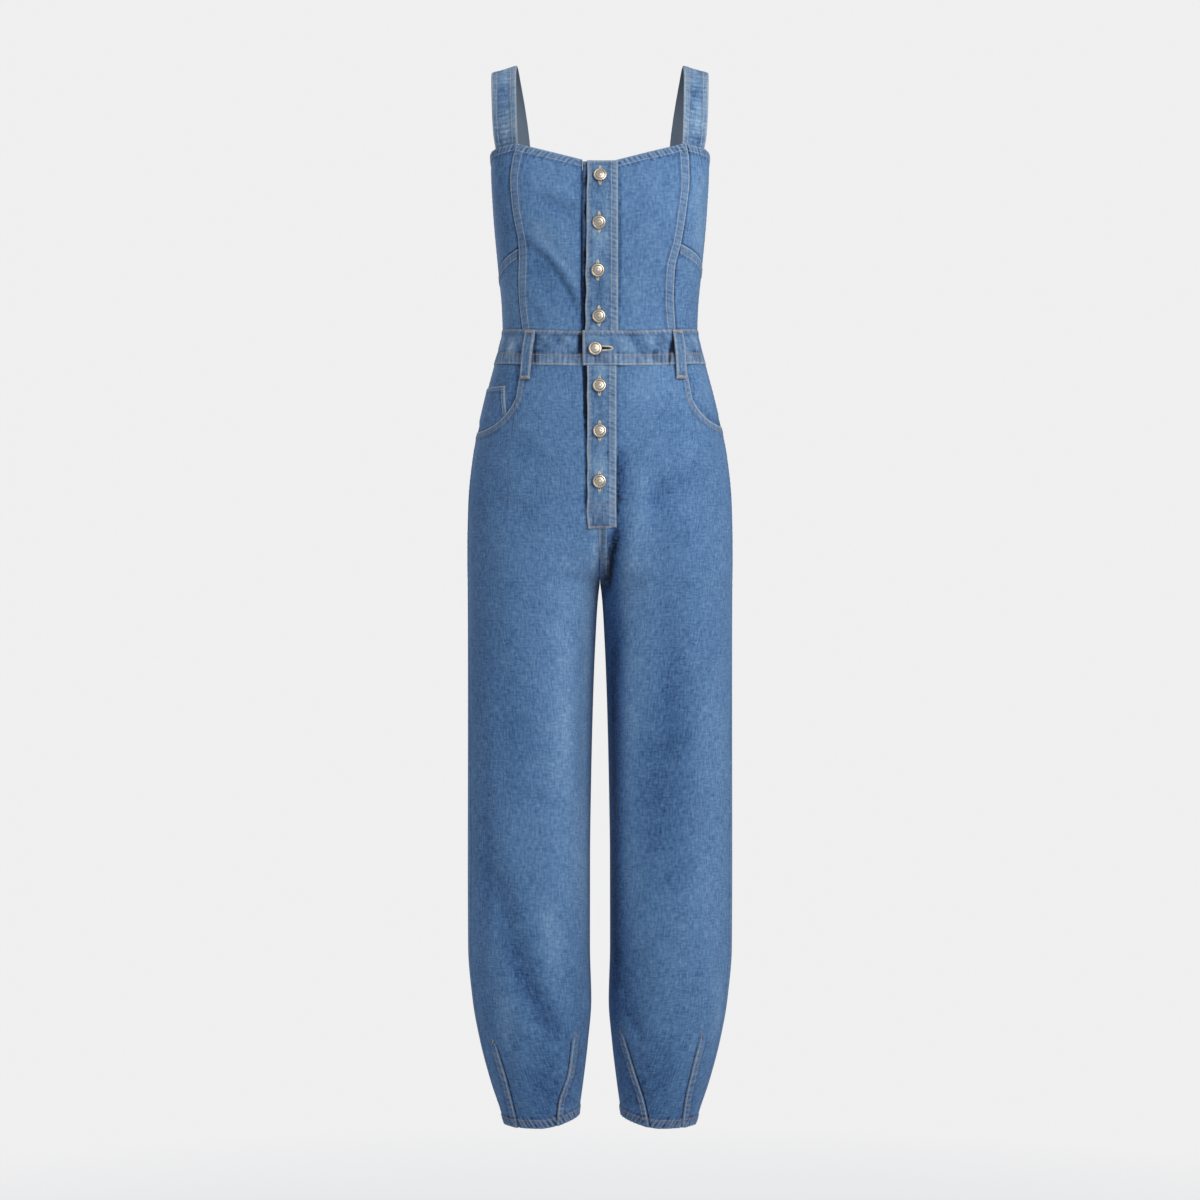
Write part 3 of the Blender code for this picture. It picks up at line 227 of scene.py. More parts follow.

# Painted light and shade, partly uneven wash: paler (over zero) or darker marks. The darkest are
# painted shadow in gaps and between the legs
SHADE_AND_WASH_COLUMNS = ("side", "face", "x", "z", "wide", "high", "lean", "level")
SHADE_AND_WASH_MARKS = (
    ("l", -1, 0.070, -0.475, 0.045, 0.060, 0.0, 0.11),
    ("r", -1, 0.066, -0.470, 0.045, 0.060, 0.0, 0.10),
    ("l", -1, 0.085, -0.770, 0.036, 0.090, 0.0, 0.10),
    ("r", -1, 0.078, -0.790, 0.040, 0.080, 0.0, 0.08),
    ("l", -1, 0.060, -0.200, 0.050, 0.045, 0.0, 0.07),
    ("r", -1, 0.052, -0.185, 0.045, 0.045, 0.0, 0.06),
    ("l", -1, 0.070, -1.300, 0.070, 0.070, 0.0, -0.14),
    ("r", -1, 0.070, -1.295, 0.070, 0.080, 0.0, -0.14),
    ("l", 1, 0.017, -0.920, 0.015, 0.270, 0.0, -0.32),
    ("l", 1, 0.0250, -0.525, 0.0080, 0.036, -5.0, -0.20),
    ("l", 1, 0.0125, -0.625, 0.0055, 0.040, -12.0, -0.30),
    ("l", 1, 0.0120, -1.110, 0.0080, 0.110, 0.0, -0.20),
    ("l", 1, 0.031, -0.660, 0.012, 0.045, 0.0, 0.13),
    ("l", 1, 0.087, -0.565, 0.035, 0.060, 0.0, -0.07),
    ("l", 1, 0.064, -0.930, 0.018, 0.070, 0.0, -0.09),
    ("l", 1, 0.149, -1.185, 0.010, 0.060, 0.0, 0.12),
    ("l", 1, 0.036, -1.192, 0.006, 0.022, 25.0, -0.20),
    ("l", 1, 0.0892, -0.356, 0.0030, 0.021, -8.0, -0.46),
    ("l", 1, 0.088, -0.850, 0.030, 0.150, 2.0, -0.06),
    ("l", 1, 0.060, -1.300, 0.070, 0.080, 0.0, -0.14),
    ("l", 1, 0.0244, -0.225, 0.0020, 0.100, 0.0, -0.26),
    ("l", 1, 0.0222, -0.480, 0.0018, 0.105, 0.0, -0.16),
    ("l", 1, 0.070, -0.400, 0.030, 0.030, 0.0, 0.06),
    ("l", 1, 0.055, -0.700, 0.024, 0.120, 0.0, 0.07),
    ("r", 1, 0.070, -1.290, 0.060, 0.090, 0.0, -0.14),
    ("r", 1, 0.168, -0.700, 0.020, 0.220, 0.0, -0.06),
    ("r", 1, 0.013, -0.850, 0.013, 0.260, 0.0, 0.18),
    ("r", 1, 0.045, -0.760, 0.018, 0.150, 3.0, 0.10),
    ("r", 1, 0.0275, -0.215, 0.0060, 0.080, 0.0, -0.05),
    ("r", 1, 0.0222, -0.250, 0.0020, 0.075, 0.0, -0.40),
    ("r", 1, 0.0190, -0.140, 0.0035, 0.018, 0.0, -0.45),
    ("r", 1, 0.0246, -0.352, 0.0028, 0.019, 0.0, -0.52),
    ("r", 1, 0.060, -0.234, 0.011, 0.045, -40.0, 0.13),
    ("r", 1, 0.110, -0.300, 0.014, 0.035, 0.0, 0.10),
    ("r", 1, 0.108, -0.358, 0.014, 0.016, 0.0, 0.08),
    ("r", 1, 0.0810, -0.356, 0.0040, 0.020, 0.0, -0.25),
    ("r", 1, 0.006, -0.635, 0.005, 0.050, 0.0, 0.16),
    ("r", 1, 0.029, -0.985, 0.010, 0.070, 0.0, 0.09),
    ("r", 1, 0.062, -1.090, 0.013, 0.045, -10.0, 0.13),
    ("r", 1, 0.092, -1.155, 0.012, 0.060, -31.0, -0.08),
    ("r", 1, 0.119, -1.200, 0.010, 0.032, 0.0, 0.12),
    ("r", 1, 0.082, -1.240, 0.016, 0.018, 20.0, 0.06),
    ("l", 1, 0.126, -0.190, 0.014, 0.060, 0.0, 0.14),
    ("l", 1, 0.135, -0.405, 0.020, 0.030, 0.0, 0.12),
    ("r", 1, 0.128, -0.190, 0.012, 0.080, 0.0, -0.05),
)
# Painted shade and light of folds and creases: how much darker a trough and paler a ridge is
# painted for each metre of push, with some wear on the ridges
FOLD_SHADE_AND_WASH = 22.0
CREASE_SHADE_AND_WASH = 30.0
BAND_SLACK_WASH = 210.0

# Trouser front columns, as shares of the way round: at the dart tops and at the hem
LEG_FRONT_COLUMNS = ("dart_top", "hem")
LEG_FRONT = (
    (0.000, 0.000), (0.030, 0.030), (0.110, 0.110), (0.180, 0.186), (0.190, 0.196), (0.214, 0.238),
    (0.224, 0.250), (0.310, 0.310), (0.400, 0.390), (0.490, 0.470), (0.580, 0.540), (0.660, 0.596),
    (0.714, 0.608), (0.734, 0.650), (0.744, 0.662), (0.830, 0.780), (0.930, 0.900), (1.000, 1.000),
)
DART_TOP_SHARE = 0.88

# Darts: the folded edge's line from its top to the hem, and on which side of it the strip lies
DART_COLUMNS = ("side", "strip", "x", "z")
DARTS = (
    ("r", 1, (0.1322, 0.1180, 0.1029), (-1.2244, -1.2710, -1.3350)),
    ("r", -1, (0.0322, 0.0394, 0.0513, 0.0549), (-1.2161, -1.2676, -1.2987, -1.3350)),
    ("l", -1, (0.0275, 0.0378, 0.0546, 0.0625), (-1.2125, -1.2460, -1.2976, -1.3350)),
    ("l", 1, (0.1271, 0.1192, 0.1084, 0.1030), (-1.2161, -1.2460, -1.2916, -1.3350)),
)
DART_STRIP = 0.0072
DART_STITCH_FOOT = -1.3225

# Straps: the two long edges over the shoulder, between the rows that lie inside the bodice
STRAP_COLUMNS = ("z", "inner_x", "inner_y", "outer_x", "outer_y", "lean")
STRAP_ARCH = (
    (-0.0900, 0.1036, -0.0800, 0.1335, -0.0590, 0.000),
    (-0.0650, 0.1045, -0.0775, 0.1352, -0.0590, 0.000),
    (-0.0330, 0.1052, -0.0660, 0.1362, -0.0560, 0.001),
    (-0.0075, 0.1055, -0.0400, 0.1368, -0.0370, 0.003),
    (0.0018, 0.1050, 0.0000, 0.1365, 0.0000, 0.005),
    (-0.0095, 0.1020, 0.0420, 0.1335, 0.0390, 0.003),
    (-0.0370, 0.0970, 0.0680, 0.1285, 0.0600, 0.001),
    (-0.0700, 0.0925, 0.0790, 0.1240, 0.0670, 0.000),
    (-0.0980, 0.0900, 0.0820, 0.1210, 0.0690, 0.000),
)
STRAP_TUCK = (0.0040, 0.0160)
STRAP_FRONT_FOOT = (0.1035, 0.1320)
STRAP_BACK_FOOT = (0.0890, 0.1200)

LOOP_COLUMNS = ("name", "side", "face", "top_x", "bottom_x", "stand_off")
BELT_LOOPS = (
    ("belt_loop_front_r", "r", 1, 0.0855, 0.0925, 0.0020),
    ("belt_loop_front_l", "l", 1, 0.0950, 0.1000, 0.0028),
    ("belt_loop_back_l", "l", -1, 0.0850, 0.0850, 0.0020),
    ("belt_loop_back_r", "r", -1, 0.0850, 0.0850, 0.0020),
    ("belt_loop_back_centre", "l", -1, 0.0000, 0.0000, 0.0020),
)
LOOP_WIDTH = 0.0120
LOOP_TOP_ABOVE_BAND = -0.0012
LOOP_BOTTOM_BELOW_BAND = 0.0190
LOOP_ARCH_POWER = 0.7

# Buttonhole's slit, a near-black sheet that paints the shade in the cut: share of its oval and
# height above the cloth, ring by ring
SLIT_RINGS = ((0.5, 0.000244), (0.85, 0.000172), (1.0, 0.000100), (1.0, -0.000200))

BUTTON_COLUMNS = ("x", "z", "band")
BUTTONS = (
    (0.0000, -0.1463, "bodice"),
    (-0.0012, -0.2037, "bodice"),
    (-0.0030, -0.2619, "bodice"),
    (-0.0014, -0.3185, "bodice"),
    (-0.0062, -0.3598, "waistband"),
    (-0.0008, -0.4060, "fly"),
    (-0.0005, -0.4622, "fly"),
    (-0.0008, -0.5243, "fly"),
)
BAND_LIFTS = {
    "bodice": CLOTH + LOOSE_GAP + HEM_RAISE,
    "waistband": BAND_CLOTH + LOOSE_GAP + HEM_RAISE,
    "fly": CLOTH + LOOSE_GAP,
}
# Button's section, from the top of the dome out and down to the shank: radius, height
BUTTON_PROFILE = (
    (0.00002, 0.00505), (0.0010, 0.00503), (0.0019, 0.00492), (0.0023, 0.00474), (0.0026, 0.00478),
    (0.0034, 0.00472), (0.0044, 0.00452), (0.0052, 0.00426), (0.0056, 0.00398), (0.0059, 0.00376),
    (0.0062, 0.00380), (0.0066, 0.00404), (0.0072, 0.00400), (0.0078, 0.00366), (0.0083, 0.00316),
    (0.0086, 0.00258), (0.0085, 0.00212), (0.0081, 0.00188), (0.0060, 0.00180), (0.0036, 0.00176),
    (0.0030, 0.00150), (0.0030, 0.00010), (0.0028, 0.00000), (0.00002, 0.00000),
)
BUTTON_SIDES = 48
# How polished the button is: radius, level
BUTTON_POLISH = (
    (0.0, 0.70), (0.0016, 0.72), (0.0023, 0.35), (0.0036, 0.68), (0.0050, 0.66), (0.0060, 0.15),
    (0.0068, 0.75), (0.0078, 0.62), (0.0086, 0.20),
)

# How each kind of edge is finished: raised by, width of the raised strip, stitch lines' distances
# (0 is none), size of the gathers, roll of the edge, worn edge (paler; under zero a darker edge,
# which for an edge under another panel is painted shadow) and mottled strip
EDGE_COLUMNS = (
    "kind", "raise", "width", "stitch_1", "stitch_2", "gather", "roll", "worn", "mottle",
)
EDGE_KINDS = (
    ("plain", 0.0, 0.0060, 0.0, 0.0, 0.0, 0.00025, -0.04, 0.0),
    ("under", 0.0, 0.0060, 0.0, 0.0, 0.0, 0.00070, -0.16, 0.0),
    ("princess", 0.0007, 0.0128, 0.0016, 0.0114, 0.00018, 0.00055, 0.16, 0.09),
    ("cross", 0.0007, 0.0118, 0.0016, 0.0104, 0.00020, 0.00055, 0.16, 0.10),
    ("neck", 0.0008, 0.0095, 0.0086, 0.0, 0.00060, 0.00055, 0.14, 0.28),
    ("mouth", 0.0006, 0.0090, 0.0016, 0.0080, 0.00016, 0.00060, 0.34, 0.10),
    ("centre", 0.0006, 0.0088, 0.0014, 0.0076, 0.00012, 0.00055, 0.12, 0.06),
    ("side", 0.0006, 0.0070, 0.0, 0.0, 0.00022, 0.00060, 0.26, 0.07),
    ("hem", 0.0008, 0.0118, 0.0106, 0.0, 0.00060, 0.00060, 0.10, 0.24),
    ("band_top", 0.0003, 0.0046, 0.0022, 0.0, 0.00024, 0.00050, 0.12, 0.20),
    ("band_foot", 0.0003, 0.0150, 0.0022, 0.0132, 0.00026, 0.00050, 0.16, 0.20),
    ("tab", 0.0003, 0.0040, 0.0022, 0.0, 0.00006, 0.00055, 0.22, 0.06),
    ("sewn", 0.0002, 0.0090, 0.0012, 0.0080, 0.00012, 0.00045, 0.22, 0.15),
    ("free", 0.0003, 0.0050, 0.0014, 0.0, 0.00018, 0.00055, 0.34, 0.08),
    ("strap", 0.0003, 0.0082, 0.0016, 0.0072, 0.00022, 0.00050, 0.22, 0.12),
    ("patch", 0.0003, 0.0060, 0.0012, 0.0050, 0.00008, 0.00050, 0.34, 0.06),
    ("loop", 0.0002, 0.0034, 0.0018, 0.0, 0.00008, 0.00045, 0.18, 0.07),
)

# Grid of each piece: its size and the size of its spans, in metres
GRID_COLUMNS = ("name", "wide", "wide_step", "long", "long_step")
GRIDS = (
    ("bodice_front", 0.100, 0.00115, 0.216, 0.00135),
    ("side_upper", 0.095, 0.00135, 0.130, 0.00135),
    ("side_lower", 0.095, 0.00135, 0.090, 0.00135),
    ("bodice_back", 0.400, 0.0016, 0.216, 0.0018),
    ("waistband_l", 0.190, 0.0013, 0.044, 0.0012),
    ("waistband_r", 0.175, 0.0013, 0.044, 0.0012),
    ("waistband_back", 0.360, 0.0017, 0.044, 0.0012),
    ("pocket_facing", 0.080, 0.0013, 0.080, 0.0013),
    ("coin_pocket", 0.042, 0.0010, 0.042, 0.0010),
    ("belt_loop", LOOP_WIDTH, 0.0010, 0.062, 0.0013),
)
LEG_FRONT_WIDE = (0.235, 0.00155)
LEG_BACK_WIDE = (0.290, 0.0023)
STRAP_WIDE = (0.031, 0.0011)
STRAP_ROWS = 211
BAND_SPANS = (0.0011, 0.0014)
LEG_LENGTH = 0.94
HEM_ROWS_FROM = -1.295

SIDES = {"l": 1.0, "r": -1.0}
TINY = 1.0e-9
NORMAL_STEP = 0.0004
ANGLE_STEP = 0.002
ROUNDS = 12
EDGE_STEPS = (0.0, 0.0005, 0.0011, 0.0018)

STITCH_PITCH = 0.0031
STITCH_LENGTH = 0.0024
STITCH_RADIUS = 0.00036
STITCH_LIFT = 0.00012
STITCH_DIMPLE = 0.00028

# Stitched box at the fly's foot: heights of its two rows, their reach, and its uprights
BOX_PITCH = 0.0024
BOX_HEIGHTS = (-0.5535, -0.5800)
BOX_WIDE = (-0.0140, 0.0186)
BOX_UPRIGHTS = (-0.0060, 0.0040)
BOX_TALL = (-0.5570, -0.5765)


def row_of(table, columns, key):
    """Find one table row by its first column and give it as a dictionary."""
    return next(dict(zip(columns, row)) for row in table if row[0] == key)


def rows_of(table, columns, side):
    """Rows of a table that belong to one half of the body, as dictionaries."""
    rows = [dict(zip(columns, row)) for row in table]
    return [row for row in rows if SIDES[row["side"]] == side]


def read_table(table, columns, name, where):
    """Read one column of a table in straight lines between its rows."""
    rows = sorted(table)
    return np.interp(where, [row[0] for row in rows], [row[columns.index(name)] for row in rows])


def smooth_slopes(keys, values):
    """Harmonic mean of the steps on either side of each row, or zero where they change sign."""
    steps = np.diff(values) / np.diff(keys)
    before = steps[:-1]
    after = steps[1:]
    same_way = before * after > 0.0
    inner = np.where(same_way, 2.0 * before * after / np.where(same_way, before + after, 1.0), 0.0)
    return np.concatenate(([steps[0]], inner, [steps[-1]]))


def smooth_read(table, columns, name, height):
    """Read one column of a table along a cubic through its rows, with the slopes above."""
    rows = sorted(table)
    keys = np.array([row[0] for row in rows])
    values = np.array([row[columns.index(name)] for row in rows])
    slopes = smooth_slopes(keys, values)
    height = np.clip(height, keys[0], keys[-1])
    index = np.clip(np.searchsorted(keys, height) - 1, 0, len(keys) - 2)
    span = keys[index + 1] - keys[index]
    t = (height - keys[index]) / span
    rise = values[index + 1] - values[index]
    start = slopes[index] * span
    end = slopes[index + 1] * span
    square = 3 * rise - 2 * start - end
    return values[index] + t * (start + t * (square + t * (start + end - 2 * rise)))


def section(name, height):
    """Read one column of SECTIONS at any height."""
    return smooth_read(SECTIONS, SECTION_COLUMNS, name, height)


def smooth_step(low, high, value):
    """Rise from 0 at low to 1 at high as t squared times (3 minus 2 t)."""
    t = np.clip((value - low) / (high - low), 0.0, 1.0)
    return t * t * (3.0 - 2.0 * t)


def bell(distance, width):
    """Bell curve: e to the minus square of distance over width."""
    return np.exp(-((distance / width) ** 2))


def ring_point(angle, height):
    """Ring of the +X half: x is the middle plus half the width times cos to a power, and y the
    same with sin and the depth. Angle 0 is the outer side and 90 degrees faces the front."""
    outer = section("outer", height)
    inner = section("inner", height)
    power = section("square", height)
    middle = section("middle", height)
    cosine = np.cos(angle)
    sine = np.sin(angle)
    out = np.sign(cosine) * np.abs(cosine) ** power
    x = 0.5 * (outer + inner) + 0.5 * (outer - inner) * out
    to_front = middle - section("front", height)
    to_back = section("back", height) - middle
    depth = np.where(sine > 0.0, to_front, to_back)
    y = middle - np.sign(sine) * depth * np.abs(sine) ** power
    return np.stack(np.broadcast_arrays(x, y, height), axis=-1)


def angle_at(x, height, face=1.0):
    """Angle at which the ring reaches this x, on the front (1) or the back (-1)."""
    outer = section("outer", height)
    inner = section("inner", height)
    share = np.clip((x - 0.5 * (outer + inner)) / (0.5 * (outer - inner)), -1.0, 1.0)
    return face * np.arccos(np.sign(share) * np.abs(share) ** (1.0 / section("square", height)))


def unit(vectors):
    """Vectors at length 1."""
    return vectors / np.maximum(np.linalg.norm(vectors, axis=-1, keepdims=True), TINY)


def outward(angle, height):
    """Unit normal: the upward direction crossed with the direction round the ring."""
    round_ring = ring_point(angle + NORMAL_STEP, height) - ring_point(angle - NORMAL_STEP, height)
    upwards = ring_point(angle, height + NORMAL_STEP) - ring_point(angle, height - NORMAL_STEP)
    return unit(np.cross(upwards, round_ring))


def facing(face, points):
    """Share that rises from 0 at the sides to 1 over the front (1) or the back (-1)."""
    return np.clip(-face * points[..., 1] / FOLD_FACE_DEPTH, 0.0, 1.0)


def beside_line(row, points):
    """Share of the way along a fold's line, and the distance across it, both in x and z."""
    x = np.abs(points[..., 0]) - row["x_1"]
    z = points[..., 2] - row["z_1"]
    run = np.array((row["x_2"] - row["x_1"], row["z_2"] - row["z_1"]))
    length = np.linalg.norm(run)
    along = run / length
    return (x * along[0] + z * along[1]) / length, x * along[1] - z * along[0]


def fold_push(side, points):
    """Large folds: minus depth times a bell across each line, faded at its ends."""
    push = np.zeros(points.shape[:-1])
    for row in rows_of(FOLDS, FOLD_COLUMNS, side):
        t, across = beside_line(row, points)
        ends = np.exp(-((2.0 * t - 1.0) ** 4))
        push -= row["depth"] * bell(across, row["width"]) * ends * facing(row["face"], points)
    return push


def crease_push(side, points):
    """Smaller creases: a bell across a bowed line, with a low shoulder on either side of it."""
    push = np.zeros(points.shape[:-1])
    for row in rows_of(CREASES, CREASE_COLUMNS, side):
        t, across = beside_line(row, points)
        across = (across - 4.0 * t * (1.0 - t) * row["bow"]) / row["width"]
        across = across * (1.0 + row["steep"] * np.tanh(across))
        shoulders = bell(across - 2.0, 0.9) + bell(across + 2.0, 0.9)
        profile = bell(across, 1.0) - 0.30 * shoulders
        ends = np.exp(-np.abs(2.0 * t - 1.0) ** 3 * 1.2)
        push -= row["depth"] * profile * ends * facing(row["face"], points)
    return push


def top_edge(angle):
    """Height of the bodice's top edge, by the distance across the front or the back."""
    across = np.abs(ring_point(angle, np.full_like(angle, TOP_EDGE_LEVEL))[..., 0])
    front = read_table(TOP_FRONT, TOP_COLUMNS, "height", across)
    back = read_table(TOP_BACK, TOP_COLUMNS, "height", across)
    return np.where(np.sin(angle) > 0.0, front, back)


def waist_seam(angle):
    """Waist seam: level at the sides, lower in front and higher behind, by the square of sin."""
    front = np.maximum(np.sin(angle), 0.0)
    back = np.minimum(np.sin(angle), 0.0)
    return WAIST_SEAM - WAIST_FRONT_DROP * front**2 + WAIST_BACK_RISE * back**2


def waistband_foot(angle):
    """Height of the lower edge of the waistband."""
    return waist_seam(angle) - WAISTBAND_HEIGHT


def hem_edge(angle):
    """Height of the trouser hem, a little higher on the inside of the leg."""
    return HEM_HEIGHT + HEM_INNER_RISE * np.maximum(-np.cos(angle), 0.0) ** HEM_RISE_POWER


def step_round(angle, height, distance):
    """Angle that lies this far round the ring from another one."""
    ahead = ring_point(angle + ANGLE_STEP, height) - ring_point(angle - ANGLE_STEP, height)
    speed = np.linalg.norm(ahead, axis=-1) / (2.0 * ANGLE_STEP)
    return angle + distance / speed


def princess_angle(side, height, gap=0.0):
    """Angle of the princess seam on one half, moved round to the front by a gap."""
    name = "wearer_left" if side > 0.0 else "wearer_right"
    across = smooth_read(PRINCESS, PRINCESS_COLUMNS, name, height)
    return step_round(angle_at(across, height), height, gap)


def side_seam_angle(height, gap=0.0):
    """Angle of the trouser side seam, moved round to the front by a gap."""
    angle = np.radians(smooth_read(SIDE_SEAM, SIDE_SEAM_COLUMNS, "angle", height))
    return step_round(angle, height, gap)


def edge_gap_angle(height):
    """Small angle beside the side line or the inner leg that is half a gap in depth."""
    depth = section("middle", height) - section("front", height)
    return np.arcsin((HALF_GAP / depth) ** (1.0 / section("square", height)))


def centre_angle(x, height):
    """Angle of an edge at this x above the crotch, and of the inner leg seam below it."""
    return np.minimum(angle_at(x, height), math.pi - edge_gap_angle(height))


def cross_seam(side, share):
    """Height of a side panel's cross seam, by the share of the way from side to princess seam."""
    row = row_of(CROSS_SEAMS, CROSS_COLUMNS, "l" if side > 0.0 else "r")
    return row["at_side"] + (row["at_princess"] - row["at_side"]) * share


def scoop_of(side):
    """The pocket mouth's row for one half."""
    return row_of(SCOOPS, SCOOP_COLUMNS, "l" if side > 0.0 else "r")


def scoop_edge(side, x, angle):
    """Trouser front's top edge: the waistband, then a quarter ellipse down to the side seam."""
    scoop = scoop_of(side)
    foot = waistband_foot(angle)
    share = np.clip((scoop["outer_x"] - x) / (scoop["outer_x"] - scoop["inner_x"]), 0.0, 1.0)
    return foot - (foot - scoop["lowest"]) * np.sqrt(1.0 - share**2)


def mouth_height(side, angle):
    """Height at which the ring meets the pocket mouth's edge at this angle."""
    height = waistband_foot(angle)
    for _ in range(ROUNDS):
        height = scoop_edge(side, ring_point(angle, height)[..., 0], angle)
    return height


def leg_share(height):
    """Share of the way down the front edge of a leg at which this height lies."""
    return (LEG_TOP - height) / (LEG_TOP - LEG_FOOT)


def grid_between(start, end, tops, bottoms, across, down, middle=None, foot=None, seat=None):
    """Angles and heights of a panel's grid: straight shares between its two long edges and between
    its two ends. With seat, the row at that share lies level at the seat."""
    foot = across if foot is None else foot
    middle = foot if middle is None else middle
    high = np.full_like(across, WAIST_SEAM)
    low = np.full_like(across, SEAT_HEIGHT)
    for _ in range(ROUNDS):
        high = tops(start(high) + across * (end(high) - start(high)))
        low = bottoms(start(low) + foot * (end(low) - start(low)))
    down = down[:, None]
    if seat is None:
        height = high + down * (low - high)
    else:
        above = high + down / seat * (SEAT_HEIGHT - high)
        below = SEAT_HEIGHT + (down - seat) / (1.0 - seat) * (low - SEAT_HEIGHT)
        height = np.where(down < seat, above, below)
    to_middle = np.clip(down / DART_TOP_SHARE, 0.0, 1.0)
    to_hem = np.clip((down - DART_TOP_SHARE) / (1.0 - DART_TOP_SHARE), 0.0, 1.0)
    share = across + to_middle * (middle - across) + to_hem * (foot - middle)
    return start(height) + share * (end(height) - start(height)), height


def shares_of(length, step):
    """Even shares of a length, closer beside both ends. There is an even number of spans."""
    count = max(4, round(length / step))
    even = np.linspace(0.0, 1.0, count + 1)[1:-1]
    near = np.array(EDGE_STEPS) / length
    inside = (even > near[-1] * 1.3) & (even < 1.0 - near[-1] * 1.3)
    shares = np.sort(np.concatenate((near, even[inside], 1.0 - near)))
    if len(shares) % 2 == 0:
        middle = len(shares) // 2
        shares = np.insert(shares, middle, 0.5 * (shares[middle - 1] + shares[middle]))
    return shares


def grid_shares(name):
    """Shares across and down of a piece's grid, from its row of GRIDS."""
    row = row_of(GRIDS, GRID_COLUMNS, name)
    return shares_of(row["wide"], row["wide_step"]), shares_of(row["long"], row["long_step"])


def run_lengths(points, axis):
    """Distances along a grid's rows or columns, summed from its first line."""
    steps = np.linalg.norm(np.diff(points, axis=axis), axis=-1)
    pad = [(0, 0), (0, 0)]
    pad[axis] = (1, 0)
    return np.pad(np.cumsum(steps, axis=axis), pad)


def grid_normals(points, towards):
    """Unit normals of a grid: its two directions crossed, on the side that faces towards."""
    normal = unit(np.cross(np.gradient(points, axis=0), np.gradient(points, axis=1)))
    return normal * np.where((normal * towards).sum(axis=-1).mean() < 0.0, -1.0, 1.0)


def gathers(along, seed):
    """Uneven gathers from -1 to 1: two sine waves along an edge whose spacing drifts."""
    drift = 1.7 * np.sin(along / 0.0130 + seed) + 1.1 * np.sin(along / 0.0310 + 2.0 * seed)
    first = np.sin(2.0 * math.pi * along / 0.0056 + drift)
    second = np.sin(2.0 * math.pi * along / 0.0093 - 1.6 * drift + seed)
    return 0.62 * first + 0.38 * second


def clouds(u, v, seed):
    """Slow unevenness from -1 to 1: three sine products of different size and turn."""
    one = np.sin(u / 0.021 + seed) * np.sin(v / 0.034 + 1.7 * seed)
    two = np.sin((u + 0.6 * v) / 0.013 + 2.3 * seed) * np.sin((v - 0.5 * u) / 0.019 + seed)
    three = np.sin((u - 0.4 * v) / 0.0085 - seed) * np.sin((v + 0.3 * u) / 0.012 + 3.1 * seed)
    return 0.5 * one + 0.3 * two + 0.2 * three


def stitch_offsets(kind):
    """Distances of the stitch lines from an edge of this kind."""
    row = row_of(EDGE_KINDS, EDGE_COLUMNS, kind)
    return [row[name] for name in ("stitch_1", "stitch_2") if row[name] > 0.0]


def finish_edge(kind, distance, along, seed):
    """Height, paleness and wear beside one edge: a raised strip with a rolled edge, a dimple at
    each stitch line, gathers between, a pale worn edge, and painted shadow: a dark line beyond the
    strip and a darker band along an edge that lies under another panel."""
    row = row_of(EDGE_KINDS, EDGE_COLUMNS, kind)
    width = row["width"]
    strip = 1.0 - smooth_step(width - 0.0004, width + 0.0014, distance)
    ripple = gathers(along + 0.35 * distance, seed)
    window = 1.0 - smooth_step(0.5 * width, 1.8 * width, distance)
    lift = row["raise"] * strip + row["gather"] * ripple * window
    lift = lift - row["roll"] * bell(distance, 0.0009)
    for offset in stitch_offsets(kind):
        lift = lift - STITCH_DIMPLE * bell(distance - offset, 0.0009)
    pale = row["worn"] * bell(distance - 0.0007, 0.0013) + row["mottle"] * ripple * window
    worn = max(row["worn"], 0.0) * 3.0 * bell(distance - 0.0006, 0.0014)
    if row["raise"] > 0.0:
        # Painted shadow: a dark line just beyond the raised strip, and the strip a little darker
        pale = pale - 0.12 * bell(distance - width - 0.0014, 0.0018) - 0.03 * strip
        worn = worn + strip * (0.32 + 0.26 * ripple)
    # Painted shadow along an edge that lies under another panel
    if kind == "under":
        pale = pale - 0.16 * bell(distance, 0.0024)
    return lift, pale, np.clip(worn, 0.0, 1.0)


def distance_to_line(points, line):
    """Shortest distance from each point to a line of straight pieces, and how far along it."""
    flat = points.reshape(-1, points.shape[-1])
    best = np.full(len(flat), np.inf)
    place = np.zeros(len(flat))
    lengths = np.linalg.norm(np.diff(line, axis=0), axis=1)
    starts = np.concatenate(([0.0], np.cumsum(lengths)))
    for number, length in enumerate(lengths):
        step = (line[number + 1] - line[number]) / max(length, TINY)
        t = np.clip((flat - line[number]) @ step, 0.0, length)
        gap = np.linalg.norm(flat - line[number] - t[:, None] * step, axis=1)
        closer = gap < best
        best = np.where(closer, gap, best)
        place = np.where(closer, starts[number] + t, place)
    return best.reshape(points.shape[:-1]), place.reshape(points.shape[:-1])


def ring_faces(index):
    """Four-sided faces between the rings of a round piece, whose rings are the index's rows."""
    after = np.roll(index, -1, axis=1)
    return np.stack((index[:-1], index[1:], after[1:], after[:-1]), axis=-1).reshape(-1, 4).tolist()


def capped_faces(index):
    """Faces of a round piece with its first and last rings closed by one face each."""
    return ring_faces(index) + [index[0].tolist(), index[-1][::-1].tolist()]


def numbered(rings):
    """Vertex numbers of a grid of points, in the grid's own shape."""
    return np.arange(rings.size // 3).reshape(rings.shape[:-1])


